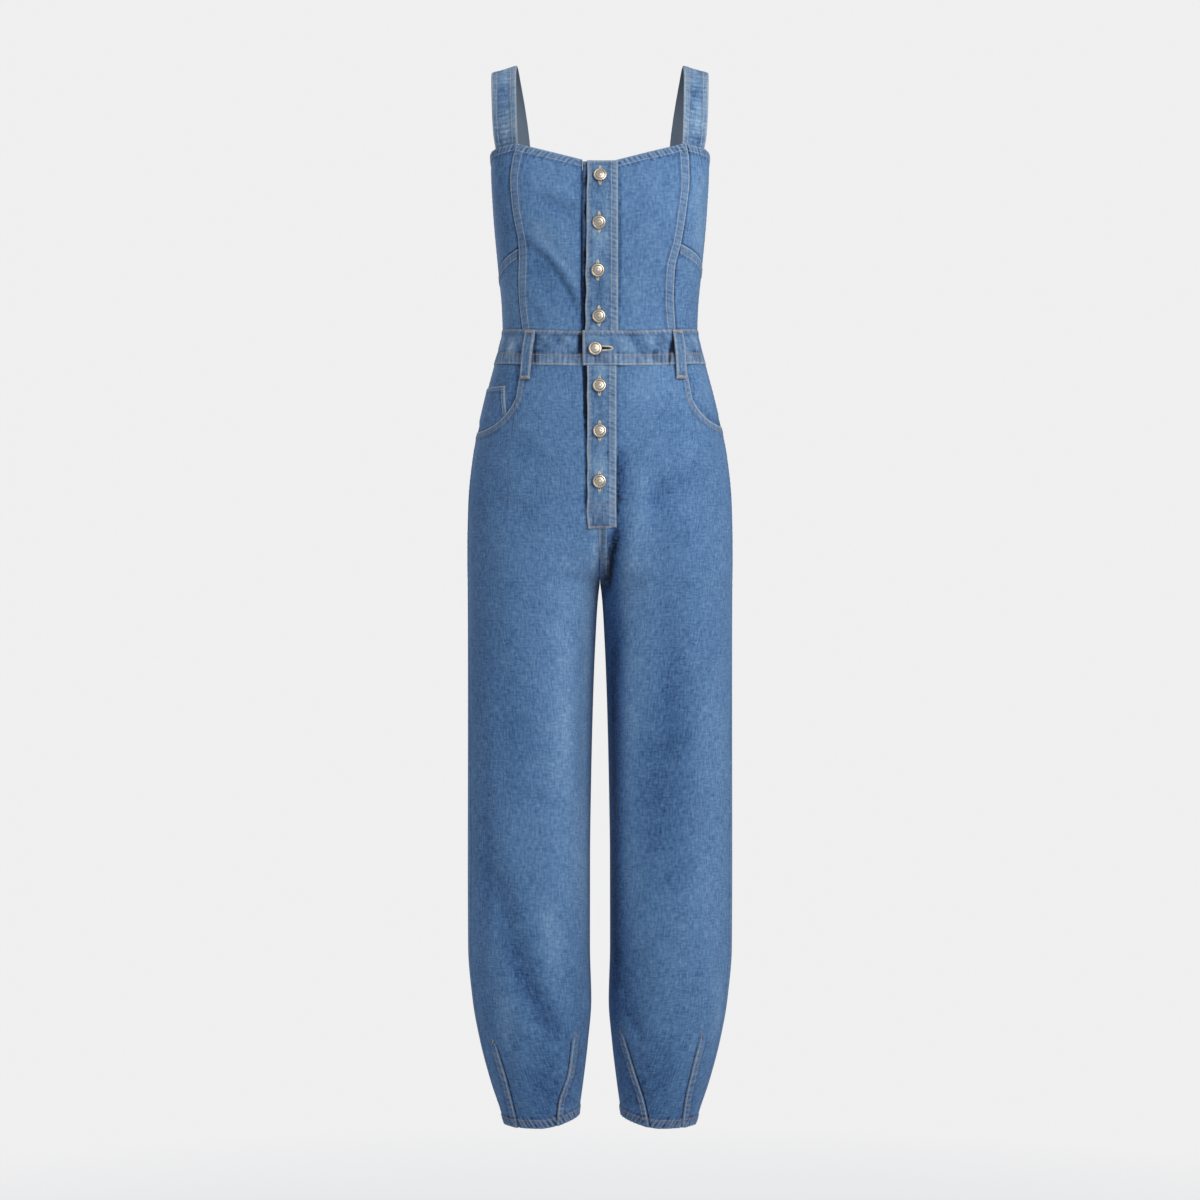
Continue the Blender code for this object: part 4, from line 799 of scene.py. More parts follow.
def sew_shell(outer, lining):
    """Faces of a thin closed shell: the outer grid, a lining on every second row and column, and
    a rim of five-sided faces between their borders."""
    face = numbered(outer)
    back = face.size + numbered(lining)
    outside = np.stack((face[:-1, :-1], face[1:, :-1], face[1:, 1:], face[:-1, 1:]), axis=-1)
    inside = np.stack((back[:-1, :-1], back[:-1, 1:], back[1:, 1:], back[1:, :-1]), axis=-1)
    outer_border, inner_border = [
        np.concatenate((index[0, :-1], index[:-1, -1], index[-1, :0:-1], index[:0:-1, 0]))
        for index in (face, back)
    ]
    first = outer_border[0::2]
    second = outer_border[1::2]
    third = np.roll(first, -1)
    rim = np.stack((first, second, third, np.roll(inner_border, -1), inner_border), axis=-1)
    return outside.reshape(-1, 4).tolist() + inside.reshape(-1, 4).tolist() + rim.tolist()


def make_piece(name, points, faces, material, nodes=(), uv=None, shades=()):
    """Mesh object at the origin with smooth faces, a map in metres and named shades."""
    mesh = bpy.data.meshes.new(name)
    mesh.from_pydata(points.tolist(), [], faces)
    mesh.update()
    mesh.shade_smooth()
    if uv is not None:
        corners = np.empty(len(mesh.loops), np.int32)
        mesh.loops.foreach_get("vertex_index", corners)
        layer = mesh.uv_layers.new(name="cloth")
        layer.data.foreach_set("uv", uv[corners].astype(np.float32).ravel())
    for key, values in shades:
        layer = mesh.attributes.new(key, "FLOAT", "POINT")
        layer.data.foreach_set("value", values.astype(np.float32))
    mesh.materials.append(material)
    piece = bpy.data.objects.new(name, mesh)
    bpy.context.scene.collection.objects.link(piece)
    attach(piece, "root")
    if nodes:
        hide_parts(*nodes)
    return piece


def dress(name, base, normal, lift, edges, look, thickness=CLOTH, tone=0.0, relief=0.0, pale=0.0,
          worn=0.0, anchor=0.5):
    """Turn a grid of points into a finished panel.

    The outer side is base plus normal times (lift, relief and the finish of each edge). The
    lining is every second point of it, moved inwards by the cloth's thickness. The cloth's map
    is the distance round from the anchor's share of the row, and the height.
    """
    seed = 0.1 * sum(map(ord, name)) % 6.0
    round_ = run_lengths(base, 1)
    down = run_lengths(base, 0)
    gap = {"start": round_, "end": round_[:, -1:] - round_, "top": down, "bottom": down[-1:] - down}
    along = {"start": down, "end": down, "top": round_, "bottom": round_}
    flat = np.zeros(base.shape[:2])
    height, shade, rubbed = flat + lift + relief, flat + tone + pale, flat + worn
    for number, (edge, kind) in enumerate(edges.items()):
        raised, paler, bare = finish_edge(kind, gap[edge], along[edge], seed + number)
        height = height + raised
        shade = shade + paler
        rubbed = np.maximum(rubbed, bare)
    u = round_ - anchor * round_[:, -1:]
    shade = shade + 0.035 * clouds(u, base[..., 2], seed)
    outer = base + normal * height[..., None]
    lining = (outer - normal * thickness)[::2, ::2]
    faces = sew_shell(outer, lining)
    row, column = outer.shape[0] // 2, outer.shape[1] // 2
    corner, below, aside = outer[row, column], outer[row + 1, column], outer[row + 1, column + 1]
    if np.cross(below - corner, aside - below) @ normal[row, column] < 0.0:
        faces = [face[::-1] for face in faces]

    def both_sides(values):
        tail = values.shape[2:]
        return np.concatenate((values.reshape(-1, *tail), values[::2, ::2].reshape(-1, *tail)))

    points = np.concatenate((outer.reshape(-1, 3), lining.reshape(-1, 3)))
    inside = np.concatenate((np.zeros(flat.size), np.ones(lining.size // 3)))
    # Named shades: the first holds the wash together with painted shade and light, then the inner
    # side and the worn share
    shades = (("wash_and_shade", both_sides(shade)), ("inside", inside), ("worn", both_sides(rubbed)))
    uv = both_sides(np.stack((u, base[..., 2]), axis=-1))
    slot, material = look
    piece = make_piece(name + "_cloth", points, faces, material, (name,), uv, shades)
    return SimpleNamespace(outer=outer, normal=normal, gap=gap)


def shade_and_wash_marks(side, points):
    """Painted light and shade, partly uneven wash: each mark adds its level times a bell over a
    leaning oval, on one face.
    """
    shade = np.zeros(points.shape[:-1])
    for row in rows_of(SHADE_AND_WASH_MARKS, SHADE_AND_WASH_COLUMNS, side):
        lean = math.radians(row["lean"])
        right = np.abs(points[..., 0]) - row["x"]
        above = points[..., 2] - row["z"]
        across = (right * math.cos(lean) + above * math.sin(lean)) / row["wide"]
        along = (above * math.cos(lean) - right * math.sin(lean)) / row["high"]
        shade += row["level"] * np.exp(-(across**2) - along**4) * facing(row["face"], points)
    return shade


def body_grid(side, angle, height):
    """Base points, normals, folds, and wash with painted shade of a panel on one half of the body.
    Troughs are painted darker as shade and ridges paler as light, with some wear on the ridges."""
    mirror = np.array((side, 1.0, 1.0))
    angle, height = np.broadcast_arrays(angle, height)
    base = ring_point(angle, height) * mirror
    folds = fold_push(side, base)
    creases = crease_push(side, base)
    # Painted shade in troughs and light on ridges, plus the marks of painted light, shade and wash
    wash_and_shade = FOLD_SHADE_AND_WASH * folds + CREASE_SHADE_AND_WASH * creases + shade_and_wash_marks(side, base)
    return base, outward(angle, height) * mirror, folds + creases, wash_and_shade


def front_grid(x, height, face=1.0):
    """Base points, normals, folds, and wash with painted shade near the centre, by real x, on
    either half.
    """
    x, height = np.broadcast_arrays(x, height)
    angle = angle_at(np.abs(x), height, face)
    halves = [body_grid(side, angle, height) for side in (1.0, -1.0)]
    right = x < 0.0
    return [
        np.where(right[..., None] if left_part.ndim > x.ndim else right, right_part, left_part)
        for left_part, right_part in zip(*halves)
    ]


# Threads: every stitch is gathered here as a place, a direction, a normal and a length
THREADS = {}


def stitch_run(points, normals, thread, pitch=STITCH_PITCH, length=STITCH_LENGTH):
    """Lay stitches of even pitch along a line, each a little off in length and direction."""
    lengths = np.concatenate(([0.0], np.cumsum(np.linalg.norm(np.diff(points, axis=0), axis=1))))
    if lengths[-1] < pitch:
        return

    def at(places, values):
        return np.stack([np.interp(places, lengths, column) for column in values.T], axis=1)

    places = np.arange(0.5 * pitch, lengths[-1] - 0.4 * pitch, pitch)
    rng = np.random.default_rng(int(lengths[-1] * 1.0e5) % 9973)
    normal = unit(at(places, normals))
    along = unit(at(places + 0.4 * length, points) - at(places - 0.4 * length, points))
    across = np.cross(normal, along)
    along = unit(along + across * rng.normal(0.0, 0.05, (len(places), 1)))
    size = length * rng.uniform(0.90, 1.08, len(places))
    centre = at(places, points) + normal * STITCH_LIFT
    THREADS.setdefault(thread, []).append((centre, along, normal, size))


def bar_tack(centre, along, normal, width, length, thread="trousers_tan", count=9):
    """Close row of stitches side by side: the width is crossed by each one, the length filled."""
    across = np.cross(normal, along)
    places = np.linspace(-0.5, 0.5, count)[:, None] * length * along
    one = np.ones((count, 1))
    THREADS.setdefault(thread, []).append(
        (centre + places + normal * 0.0003, across * one, normal * one, np.full(count, width))
    )


def line_beside(panel, edge, offset, low=None, high=None):
    """Line on a panel's outer side that keeps one distance from an edge, between two heights."""
    points, normals, gap = panel.outer, panel.normal, panel.gap[edge]
    if edge in ("top", "bottom"):
        points, normals, gap = points.swapaxes(0, 1), normals.swapaxes(0, 1), gap.T
    if edge in ("end", "bottom"):
        points, normals, gap = points[:, ::-1], normals[:, ::-1], gap[:, ::-1]
    index = np.clip((gap < offset).sum(axis=1) - 1, 0, gap.shape[1] - 2)
    row = np.arange(len(gap))
    span = np.maximum(gap[row, index + 1] - gap[row, index], TINY)
    t = ((offset - gap[row, index]) / span)[:, None]
    line = points[row, index] + t * (points[row, index + 1] - points[row, index])
    normal = normals[row, index]
    keep = gap[:, -1] > offset
    if low is not None:
        keep &= (line[:, 2] > low) & (line[:, 2] < high)
    return line[keep], normal[keep]


def stitch_edges(panel, edges, thread):
    """Stitch each edge at the distances that its kind states."""
    for edge, kind in edges.items():
        for offset in stitch_offsets(kind):
            stitch_run(*line_beside(panel, edge, offset), thread)


def build_threads():
    """Every stitch as a four-sided thread that is thin at both ends and pressed in the middle."""
    shape_along = np.array((-0.50, -0.30, 0.30, 0.50))[None, :, None, None]
    shape_round = np.array((0.35, 1.0, 1.0, 0.35))[None, :, None, None]
    turn = np.radians((45.0, 135.0, 225.0, 315.0))[None, None, :, None]
    for thread, runs in THREADS.items():
        centre, along, normal, size = [
            np.concatenate(parts)[:, None, None] for parts in zip(*runs)
        ]
        across = np.cross(normal, along)
        radius = STITCH_RADIUS * shape_round
        rings = centre + along * (size[..., None] * shape_along)
        rings = rings + across * radius * np.cos(turn)
        rings = rings + normal * radius * (0.8 * np.sin(turn))
        number = numbered(rings)
        after = np.roll(number, -1, axis=2)
        sides = np.stack((number[:, :-1], number[:, 1:], after[:, 1:], after[:, :-1]), axis=-1)
        faces = sides.reshape(-1, 4).tolist()
        faces = faces + number[:, 0, :].tolist() + number[:, -1, ::-1].tolist()
        material = THREAD_MATERIALS[thread.split("_")[-1]]
        make_piece("stitches_" + thread, rings.reshape(-1, 3), faces, material)


def add_node(tree, kind, inputs, **settings):
    """Shader node with its settings, then its inputs: each a plain value or another's output."""
    node = tree.nodes.new(kind)
    for name, value in settings.items():
        setattr(node, name, value)
    for key, value in inputs.items():
        if isinstance(value, bpy.types.NodeSocket):
            tree.links.new(value, node.inputs[key])
        else:
            node.inputs[key].default_value = value
    return node


def math_node(tree, operation, *values):
    """Math node on outputs or plain numbers."""
    return add_node(tree, "ShaderNodeMath", dict(enumerate(values)), operation=operation).outputs[0]


def centred(tree, noise, amount):
    """A noise from 0 to 1 turned into one of this size about 0."""
    return math_node(tree, "MULTIPLY_ADD", noise, amount, -0.5 * amount)


def stretched_noise(tree, source, scale, detail, roughness=0.6):
    """Noise whose pattern is stretched by a different scale each way."""
    place = add_node(tree, "ShaderNodeMapping", {"Vector": source, "Scale": scale})
    inputs = {"Vector": place.outputs[0], "Scale": 1.0, "Detail": detail, "Roughness": roughness}
    return add_node(tree, "ShaderNodeTexNoise", inputs).outputs[0]


def colour_ramp(tree, level, steps):
    """Ramp through these places and colours."""
    ramp = add_node(tree, "ShaderNodeValToRGB", {0: level})
    while len(ramp.color_ramp.elements) < len(steps):
        ramp.color_ramp.elements.new(0.5)
    for element, (place, colour) in zip(ramp.color_ramp.elements, steps):
        element.position = place
        element.color = (*colour, 1.0)
    return ramp.outputs[0]


def mixed(tree, share, first, second):
    """Colour that goes from the first to the second, each an output or a plain colour."""
    inputs = {"Factor": share, 6: first, 7: second}
    return add_node(tree, "ShaderNodeMix", inputs, data_type="RGBA").outputs[2]


def own_shade(tree, name):
    """One of the piece's own named shades."""
    return add_node(tree, "ShaderNodeAttribute", {}, attribute_name=name).outputs["Fac"]


def new_material(name):
    """Material with its node tree and shader."""
    material = bpy.data.materials.new(name)
    material.use_nodes = True
    return material, material.node_tree, material.node_tree.nodes["Principled BSDF"]


def make_denim(name, steps, mottle):
    """Washed denim: warp and weft slubs and a fine twill darken or bleach the indigo, and the
    panel's own shade, its wash together with painted shade and light, moves it along a ramp from
    deep blue to worn white."""
    material, tree, shader = new_material(name)
    source = add_node(tree, "ShaderNodeUVMap", {}, uv_map="cloth").outputs[0]
    warp = stretched_noise(tree, source, (460.0, 85.0, 1.0), 5.0, 0.80)
    weft = stretched_noise(tree, source, (105.0, 440.0, 1.0), 5.0, 0.80)
    grain = stretched_noise(tree, source, (1500.0, 1500.0, 1.0), 2.0)
    cloud = stretched_noise(tree, source, (42.0, 30.0, 1.0), 4.0, 0.65)
    inputs = {"Vector": source, "Scale": 260.0, "Distortion": 1.2, "Detail": 1.0}
    settings = {"wave_type": "BANDS", "bands_direction": "DIAGONAL"}
    twill = add_node(tree, "ShaderNodeTexWave", inputs, **settings).outputs["Fac"]
    weave = ((warp, 1.16), (weft, 0.96), (grain, 0.22), (cloud, mottle), (twill, 0.10))
    level = math_node(tree, "ADD", own_shade(tree, "wash_and_shade"), 0.5)
    for noise, amount in weave:
        level = math_node(tree, "ADD", level, centred(tree, noise, amount))
    patchy = math_node(tree, "MULTIPLY_ADD", cloud, 1.2, -0.05)
    bare = math_node(tree, "MULTIPLY", own_shade(tree, "worn"), patchy)
    outside = mixed(tree, bare, colour_ramp(tree, level, steps), BARE_WEFT)
    colour = mixed(tree, own_shade(tree, "inside"), outside, DENIM_INSIDE)
    tree.links.new(colour, shader.inputs["Base Color"])
    relief = math_node(tree, "MULTIPLY_ADD", weft, 0.6, math_node(tree, "MULTIPLY", warp, 0.8))
    relief = math_node(tree, "MULTIPLY_ADD", twill, 0.35, relief)
    inputs = {"Height": relief, "Strength": 0.55, "Distance": 0.00045}
    bump = add_node(tree, "ShaderNodeBump", inputs)
    tree.links.new(bump.outputs[0], shader.inputs["Normal"])
    shader.inputs["Roughness"].default_value = 0.88
    shader.inputs["Specular IOR Level"].default_value = 0.18
    shader.inputs["Sheen Weight"].default_value = 0.10
    shader.inputs["Sheen Roughness"].default_value = 0.55
    shader.inputs["Sheen Tint"].default_value = (0.70, 0.80, 1.0, 1.0)
    return material


def make_thread(name, colour, worn):
    """Cotton thread: one dyed colour and its worn, paler one, mixed by fine noise."""
    material, tree, shader = new_material(name)
    source = tree.nodes.new("ShaderNodeTexCoord").outputs["Object"]
    noise = stretched_noise(tree, source, (260.0, 260.0, 260.0), 2.0)
    ramp = colour_ramp(tree, noise, ((0.34, colour), (0.66, worn)))
    tree.links.new(ramp, shader.inputs["Base Color"])
    shader.inputs["Roughness"].default_value = 0.8
    shader.inputs["Specular IOR Level"].default_value = 0.25
    return material


def make_brass():
    """Pale antique brass: polished on the high rings, darker and rougher where grime settled."""
    material, tree, shader = new_material("antique_brass")
    source = tree.nodes.new("ShaderNodeTexCoord").outputs["Object"]
    noise = stretched_noise(tree, source, (620.0, 620.0, 620.0), 4.0, 0.7)
    level = math_node(tree, "ADD", own_shade(tree, "polish"), centred(tree, noise, 0.9))
    steps = ((0.15, (0.20, 0.150, 0.095)), (0.75, (0.83, 0.710, 0.570)))
    tree.links.new(colour_ramp(tree, level, steps), shader.inputs["Base Color"])
    rough = math_node(tree, "MULTIPLY_ADD", level, -0.25, 0.52)
    tree.links.new(rough, shader.inputs["Roughness"])
    inputs = {"Height": noise, "Strength": 0.25, "Distance": 0.0003}
    bump = add_node(tree, "ShaderNodeBump", inputs)
    tree.links.new(bump.outputs[0], shader.inputs["Normal"])
    shader.inputs["Metallic"].default_value = 0.9
    return material


def make_plain(name, colour, roughness):
    """One even colour, for the slit of a buttonhole painted as the shade in it, and for the floor.
    """
    material, _, shader = new_material(name)
    shader.inputs["Base Color"].default_value = (*colour, 1.0)
    shader.inputs["Roughness"].default_value = roughness
    return material


# Colours of the washed denim from near black, which painted shadow in gaps reaches, through deep
# indigo to bleached, of bare weft and of the inner side
PANEL_STEPS = (
    (0.00, (0.004, 0.010, 0.028)),
    (0.12, (0.022, 0.054, 0.130)),
    (0.28, (0.050, 0.118, 0.255)),
    (0.50, (0.104, 0.212, 0.385)),
    (0.74, (0.190, 0.325, 0.510)),
    (1.00, (0.440, 0.540, 0.650)),
)
BAND_STEPS = (
    (0.00, (0.004, 0.010, 0.028)),
    (0.12, (0.026, 0.056, 0.128)),
    (0.28, (0.060, 0.122, 0.245)),
    (0.50, (0.122, 0.222, 0.370)),
    (0.74, (0.225, 0.345, 0.490)),
    (1.00, (0.500, 0.570, 0.640)),
)
BARE_WEFT = (0.310, 0.325, 0.330, 1.0)
DENIM_INSIDE = (0.150, 0.185, 0.235, 1.0)
PANELS = ("denim_panels", make_denim("washed_denim", PANEL_STEPS, 0.25))
BANDS = ("denim_bands", make_denim("faded_band_denim", BAND_STEPS, 0.46))
THREAD_MATERIALS = {
    "pale": make_thread("pale_thread", (0.36, 0.40, 0.42), (0.70, 0.73, 0.73)),
    "tan": make_thread("tan_thread", (0.40, 0.21, 0.11), (0.62, 0.47, 0.35)),
    "gold": make_thread("gold_thread", (0.46, 0.38, 0.25), (0.76, 0.69, 0.55)),
}
BRASS = make_brass()
# Near-black colour of a buttonhole's slit: painted shade in the cut
SLIT_SHADE = make_plain("buttonhole_slit_shade", (0.006, 0.009, 0.016), 0.9)


def add_bodice_front(letter):
    """Centre front from the princess seam to the buttoned edge."""
    side = SIDES[letter]
    edge = LEFT_FRONT_EDGE if side > 0.0 else -UNDERLAY_EDGE + SEAM_GAP
    angle, height = grid_between(
        lambda z: princess_angle(side, z, HALF_GAP),
        lambda z: angle_at(edge, z),
        top_edge,
        lambda a: waist_seam(a) + HALF_GAP,
        *grid_shares("bodice_front"),
    )
    end = "plain" if side > 0.0 else "under"
    edges = {"start": "princess", "top": "neck", "bottom": "plain", "end": end}
    base, normal, push, wash_and_shade = body_grid(side, angle, height)
    panel = dress(
        "bodice_front_" + letter, base, normal, push, edges, PANELS,
        tone=0.02, pale=wash_and_shade, anchor=1.0,
    )
    stitch_edges(panel, edges, "bodice_pale")


def add_side_panels(letter):
    """Side panels from the side seam to the princess seam, above and below the cross seam."""
    side = SIDES[letter]

    def end(z):
        return princess_angle(side, z, -HALF_GAP)

    def cross(angle, gap):
        to_princess = princess_angle(side, np.full_like(angle, PRINCESS_LEVEL))
        return cross_seam(side, np.clip(angle / to_princess, 0.0, 1.0)) + gap

    for name, tops, bottoms, top_kind, bottom_kind in (
        ("side_upper", top_edge, lambda a: cross(a, HALF_GAP), "neck", "under"),
        (
            "side_lower", lambda a: cross(a, -HALF_GAP), lambda a: waist_seam(a) + HALF_GAP,
            "cross", "plain",
        ),
    ):
        angle, height = grid_between(edge_gap_angle, end, tops, bottoms, *grid_shares(name))
        base, normal, push, wash_and_shade = body_grid(side, angle, height)
        edges = {"top": top_kind, "end": "under", "bottom": bottom_kind, "start": "side"}
        panel = dress(name + "_" + letter, base, normal, push, edges, PANELS, pale=wash_and_shade)
        stitch_edges(panel, edges, "bodice_pale")


def add_bodice_back():
    """Back of the bodice, from one side seam round to the other."""
    angle, height = grid_between(
        lambda z: -edge_gap_angle(z),
        lambda z: -math.pi + edge_gap_angle(z),
        top_edge,
        lambda a: waist_seam(a) + HALF_GAP,
        *grid_shares("bodice_back"),
    )
    edges = {"top": "neck", "start": "side", "end": "side", "bottom": "plain"}
    base, normal, left, left_wash_and_shade = body_grid(1.0, angle, height)
    _, _, right, right_wash_and_shade = body_grid(-1.0, angle, height)
    push = np.where(base[..., 0] < 0.0, right, left)
    wash_and_shade = np.where(base[..., 0] < 0.0, right_wash_and_shade, left_wash_and_shade)
    panel = dress("bodice_back", base, normal, push, edges, PANELS, pale=wash_and_shade)
    stitch_edges(panel, edges, "bodice_pale")


def add_waistband():
    """Waistband in three lengths. The left one steps out near its end to lap over the right."""
    for name, side, start, end, last in (
        ("waistband_l", 1.0, edge_gap_angle, lambda z: angle_at(UNDERLAY_EDGE, z), "tab"),
        ("waistband_r", -1.0, edge_gap_angle, lambda z: angle_at(-LEFT_FRONT_EDGE, z), "plain"),
        (
            "waistband_back", 1.0, lambda z: -edge_gap_angle(z),
            lambda z: edge_gap_angle(z) - math.pi, "side",
        ),
    ):
        angle, height = grid_between(
            start,
            end,
            lambda a: waist_seam(a) - HALF_GAP,
            lambda a: waistband_foot(a) + HALF_GAP,
            *grid_shares(name),
        )
        base, normal, push, wash_and_shade = body_grid(side, angle, height)
        x, z = base[..., 0], base[..., 2]
        lift = push + HEM_RAISE
        if name == "waistband_l":
            lap = np.clip((LAP_START - x) / (LAP_START - LAP_FULL), 0.0, 1.0)
            lift = lift + (BAND_CLOTH + LOOSE_GAP) * lap
        edges = {"top": "band_top", "bottom": "band_foot", "end": last}
        round_ = run_lengths(base, 1)
        slack = 0.0009 * clouds(1.8 * round_ + 0.8 * z, 1.4 * z, 2.0 + side)
        slack = slack + 0.0007 * clouds(4.2 * round_ - 1.6 * z, 2.6 * z + round_, 4.0 + side)
        if name == "waistband_back":
            slack = 0.6 * slack
        pale = 1.6 * wash_and_shade + BAND_SLACK_WASH * slack
        panel = dress(name, base, normal, lift, edges, BANDS, BAND_CLOTH, -0.01, slack, pale)
        stitch_edges(panel, {"top": "band_top"}, "bodice_tan")
        for offset, thread in zip(stitch_offsets("band_foot"), ("bodice_pale", "bodice_tan")):
            stitch_run(*line_beside(panel, "bottom", offset), thread)
        if last == "tab":
            stitch_edges(panel, {"end": "tab"}, "bodice_pale")


def dart_line(dart):
    """A dart's folded edge in x and z, as many short pieces of a smoothed curve."""
    x, z = np.array(dart["x"]), np.array(dart["z"])
    heights = np.linspace(z[0], z[-1], 40)
    bend = np.interp(heights, z[::-1], x[::-1])
    for _ in range(6):
        bend[1:-1] = np.convolve(bend, (0.2, 0.6, 0.2), mode="valid")
    return np.stack((bend, heights), axis=1)


def dart_relief(side, points):
    """Raised strip beside each dart's fold, a groove on the other side with painted shade in it, a
    painted shadow line beyond the strip, and mottled wear.
    """
    lift = np.zeros(points.shape[:-1])
    pale = np.zeros(points.shape[:-1])
    worn = np.zeros(points.shape[:-1])
    flat = np.stack((np.abs(points[..., 0]), points[..., 2]), axis=-1)
    for dart in rows_of(DARTS, DART_COLUMNS, side):
        line = dart_line(dart)
        _, along = distance_to_line(flat, line)
        fold_x = np.interp(flat[..., 1], line[::-1, 1], line[::-1, 0])
        signed = dart["strip"] * (flat[..., 0] - fold_x)
        shown = (flat[..., 1] < line[0, 1] + 0.002) & (points[..., 1] < 0.0)
        front = smooth_step(0.0, 0.016, along) * shown
        beyond = smooth_step(DART_STRIP - 0.001, DART_STRIP + 0.001, signed)
        strip = smooth_step(-0.0006, 0.0006, signed) * (1.0 - beyond)
        ripple = gathers(along, 4.0 + dart["x"][0] * 90.0)
        groove = 0.0011 * bell(signed + 0.0010, 0.0010)
        lift += front * (0.0009 * strip - groove + 0.00018 * ripple * strip)
        # Mottle on the strip, and painted shade in the groove beside the fold
        pale += front * (0.12 * ripple * strip - 0.42 * bell(signed + 0.0011, 0.0012))
        pale += front * 0.24 * bell(signed - 0.0006, 0.0009)
        # Painted shadow just beyond the strip's outer edge
        pale -= front * 0.10 * bell(signed - DART_STRIP - 0.0012, 0.0014)
        worn += front * (strip * (0.20 + 0.24 * ripple) + 0.9 * bell(signed - 0.0006, 0.0009))
    return lift, pale, np.clip(worn, 0.0, 1.0)


def leg_rows(body_rows, hem_rows, near_top, near_hem):
    """Shares down a leg: even rows, closer ones over the hem and single ones beside both ends."""
    hem_start = leg_share(HEM_ROWS_FROM)
    body = np.linspace(0.0, hem_start, body_rows)
    hem = np.linspace(hem_start, 1.0, hem_rows)[1:]
    top = np.array(near_top) / LEG_LENGTH
    foot = 1.0 - np.array(near_hem) / LEG_LENGTH
    shares = np.unique(np.concatenate((body, hem, top, foot)))
    return shares if len(shares) % 2 else np.delete(shares, len(shares) // 2)


def add_leg_front(letter):
    """Trouser front: pocket mouth at the top, centre seam and inner leg, darts and hem below."""
    side = SIDES[letter]
    even = shares_of(*LEG_FRONT_WIDE)
    angle, height = grid_between(
        lambda z: side_seam_angle(z, HALF_GAP),
        lambda z: centre_angle(HALF_GAP, z),
        lambda a: mouth_height(side, a) - HALF_GAP,
        hem_edge,
        even,
        leg_rows(284, 32, (0.0005, 0.0011), (0.0010, 0.0005)),
        even,
        read_table(LEG_FRONT, LEG_FRONT_COLUMNS, "hem", even),
        leg_share(SEAT_HEIGHT),
    )
    base, normal, push, wash_and_shade = body_grid(side, angle, height)
    scoop_x = scoop_of(side)["inner_x"]
    top_x = np.abs(base[0, :, 0])
    gap, along = distance_to_line(base, base[0, top_x > scoop_x - 0.004])
    finishes = [finish_edge("mouth", gap, along, 2.0 + side), dart_relief(side, base)]
    if side > 0.0:
        z = base[..., 2]
        seam = 1.0 - smooth_step(FLY_FOOT - 0.004, FLY_FOOT + 0.002, z)
        seam = seam * smooth_step(-0.660, -0.650, z)
        finishes.append(
            [seam * part for part in finish_edge("centre", np.abs(base[..., 0]), -z, 1.0)]
        )
    lifts, shades, wears = zip(*finishes)
    shade = sum(shades) + wash_and_shade - (fly_shadow(base) if side < 0.0 else 0.0)
    edges = {"bottom": "hem", "start": "side", "end": "plain"}
    panel = dress(
        "leg_front_" + letter, base, normal, push, edges, PANELS,
        relief=sum(lifts), pale=shade, worn=np.maximum.reduce(wears), anchor=0.0,
    )
    stitch_edges(panel, {"bottom": "hem"}, "trousers_tan")
    for offset, thread in zip(stitch_offsets("mouth"), ("trousers_pale", "trousers_tan")):
        stitch_run(*contour(panel, gap, offset, top_x > scoop_x - 0.006), thread)
    for dart in rows_of(DARTS, DART_COLUMNS, side):
        stitch_dart(panel, dart, side)
    if side > 0.0:
        heights = np.linspace(FLY_FOOT - 0.002, -0.640, 40)
        for offset in stitch_offsets("centre"):
            line = line_on(panel, np.full(40, offset), heights, leg=True)
            stitch_run(*line, "trousers_pale")


def fly_shadow(points):
    """Dark gap beside the fly's free edge: wide and deep at the waist, narrow and broken below."""
    height = points[..., 2]
    x = np.abs(points[..., 0])
    deep = smooth_step(-0.475, -0.430, height)
    reach = -UNDERLAY_EDGE - 0.0022 * (1.0 - deep) + 0.0005 * np.sin(height / 0.013)
    beside = 1.0 - smooth_step(reach - 0.0012, reach + 0.0006, x)
    return beside * (0.34 + 0.30 * deep) * smooth_step(FLY_FOOT + 0.006, FLY_FOOT + 0.030, height)


def contour(panel, field, level, columns):
    """Line on a panel where a field first passes a level, looking down each chosen column."""
    values = field[:, columns].T
    points = panel.outer[:, columns].swapaxes(0, 1)
    normals = panel.normal[:, columns].swapaxes(0, 1)
    index = np.argmax(values > level, axis=1)
    good = index > 0
    row = np.arange(len(values))
    before = np.maximum(index - 1, 0)
    span = np.maximum(values[row, index] - values[row, before], TINY)
    t = ((level - values[row, before]) / span)[:, None]
    line = points[row, before] + t * (points[row, index] - points[row, before])
    return line[good], normals[row, before][good]


def line_on(panel, across, heights, leg=False):
    """Line on a panel's front at these x and heights. Its depth and normals are those of the four
    nearest grid points, each weighted by one over the square of its distance. On a leg, nearness
    goes by the distance from the middle of the garment, on whichever side a point falls."""
    points = panel.outer.reshape(-1, 3)
    front = points[:, 1] < 0.0
    points = points[front]
    normals = panel.normal.reshape(-1, 3)[front]
    wanted, x = (np.abs(across), np.abs(points[:, 0])) if leg else (across, points[:, 0])
    away = (wanted[:, None] - x) ** 2 + (heights[:, None] - points[:, 2]) ** 2
    nearest = np.argsort(away, axis=1)[:, :4]
    weight = 1.0 / (np.take_along_axis(away, nearest, axis=1) + TINY)
    weight = weight / weight.sum(axis=1, keepdims=True)
    depth = (points[nearest, 1] * weight).sum(axis=1)
    normal = unit((normals[nearest] * weight[..., None]).sum(axis=1))
    return np.stack((across, depth, heights), axis=1), normal


